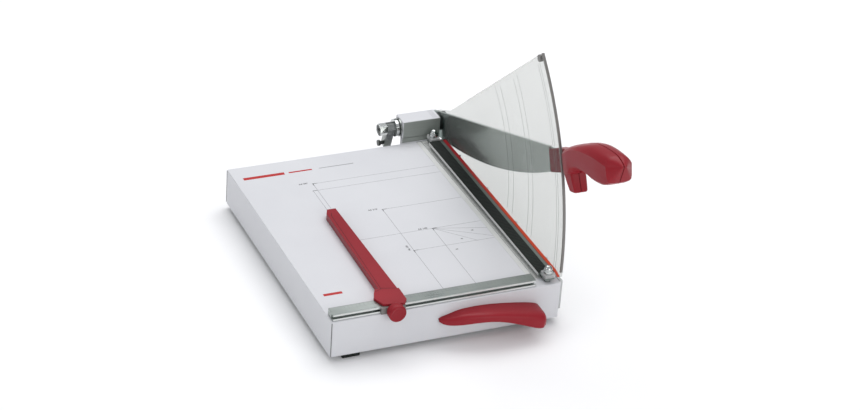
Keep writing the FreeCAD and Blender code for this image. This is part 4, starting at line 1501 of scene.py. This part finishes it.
@dataclass
class Studio:
    """A pale floor, soft lights and the camera."""

    eye: Spot = (-1233.0, -2271.9, 1577.5)
    azimuth: float = 24.88
    elevation: float = 30.04
    roll: float = 4.11
    lens: float = 103.16
    floor_half: float = 30.0
    sky: float = 0.74
    horizon: Spot = (0.30, 0.31, 0.32)
    zenith: Spot = (0.95, 0.96, 1.0)
    zenith_from: float = 0.9
    sensor: float = 36.0
    sight: float = 100.0

    def build(self) -> None:
        """Floor, world, lights, colour and camera."""
        self.floor()
        self.world()
        self.lights()
        self.camera()
        bpy.context.scene.view_settings.view_transform = "Standard"

    def floor(self) -> None:
        """A wide pale floor at the height that the feet rest on."""
        data = bpy.data.meshes.new("studio_floor")
        wide = self.floor_half
        data.from_pydata([(-wide, -wide, 0), (wide, -wide, 0), (wide, wide, 0), (-wide, wide, 0)], [],
                         [(0, 1, 2, 3)])
        floor = bpy.data.objects.new("studio_floor", data)
        bpy.context.scene.collection.objects.link(floor)
        paper = Finish("studio_paper", (0.97, 0.97, 0.97), (0.96, 0.96, 0.96), (0.8, 0.9))
        data.materials.append(paper.material())

    def world(self) -> None:
        """A soft sky: bright above and dimmer at the horizon."""
        world = bpy.data.worlds.new("studio_sky")
        bpy.context.scene.world = world
        world.use_nodes = True
        tree = world.node_tree
        back = tree.nodes["Background"]
        place = tree.nodes.new("ShaderNodeTexCoord")
        split = tree.nodes.new("ShaderNodeSeparateXYZ")
        ramp = tree.nodes.new("ShaderNodeValToRGB")
        ramp.color_ramp.elements[0].position = 0.0
        ramp.color_ramp.elements[0].color = (*self.horizon, 1.0)
        ramp.color_ramp.elements[1].position = self.zenith_from
        ramp.color_ramp.elements[1].color = (*self.zenith, 1.0)
        tree.links.new(place.outputs["Generated"], split.inputs["Vector"])
        tree.links.new(split.outputs["Z"], ramp.inputs["Fac"])
        tree.links.new(ramp.outputs["Color"], back.inputs["Color"])
        back.inputs["Strength"].default_value = self.sky

    def light(self, name: str, spot: Spot, target: Spot, size: Flat, power: float) -> None:
        """A soft area light.

        Args:
            name: its name.
            spot: where it hangs, in metres.
            target: what it points at, in metres.
            size: its two sides in metres.
            power: its watts.
        """
        data = bpy.data.lights.new(name, "AREA")
        data.shape = "RECTANGLE"
        data.size, data.size_y = size
        data.energy = power
        lamp = bpy.data.objects.new(name, data)
        lamp.location = spot
        lamp.rotation_mode = "QUATERNION"
        lamp.rotation_quaternion = (Vector(target) - Vector(spot)).to_track_quat("-Z", "Y")
        bpy.context.scene.collection.objects.link(lamp)

    def lights(self) -> None:
        """A wide light above and behind on the right, and weak fills from the front and the left."""
        self.light("overhead", (0.5, 0.9, 2.2), (0.0, 0.0, 0.0), size=(2.4, 1.8), power=34.0)
        self.light("front_fill", (0.5, -2.4, 0.9), (0.0, 0.0, 0.0), size=(1.6, 1.0), power=16.0)
        self.light("left_fill", (-2.2, -0.4, 1.1), (0.0, 0.0, 0.1), size=(1.4, 1.0), power=6.0)

    def camera(self) -> None:
        """The camera, from its place and its three angles."""
        turn, drop, roll = (math.radians(value) for value in (self.azimuth, self.elevation, self.roll))
        forward = Vector((math.sin(turn) * math.cos(drop), math.cos(turn) * math.cos(drop), -math.sin(drop)))
        level = Vector((math.cos(turn), -math.sin(turn), 0.0))
        upright = level.cross(forward)
        right = level * math.cos(roll) + upright * math.sin(roll)
        up = right.cross(forward)
        data = bpy.data.cameras.new("camera")
        data.lens = self.lens
        data.sensor_width = self.sensor
        data.clip_end = self.sight
        camera = bpy.data.objects.new("camera", data)
        camera.matrix_world = Matrix.Translation(TABLE.at(self.eye)) @ Matrix(
            (right, up, -forward)).transposed().to_4x4()
        bpy.context.scene.collection.objects.link(camera)
        bpy.context.scene.camera = camera


def main() -> None:
    """Build the studio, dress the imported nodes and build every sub-assembly in order."""
    logging.basicConfig(level=logging.INFO, format="%(message)s")
    assemblies = (Studio(), CarriedNodes(), PaintedTable(), Rail(), RuleStrip(), CarryHandle(),
                  BearingBlock(), ArmHandle(), ClampDetail(), Springs(), GaugeCreaseShade(), Knob(), CapNuts())
    for assembly in assemblies:
        assembly.build()
        LOG.info("%s is built", type(assembly).__name__)
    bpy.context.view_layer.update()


if __name__ == "__main__":
    main()
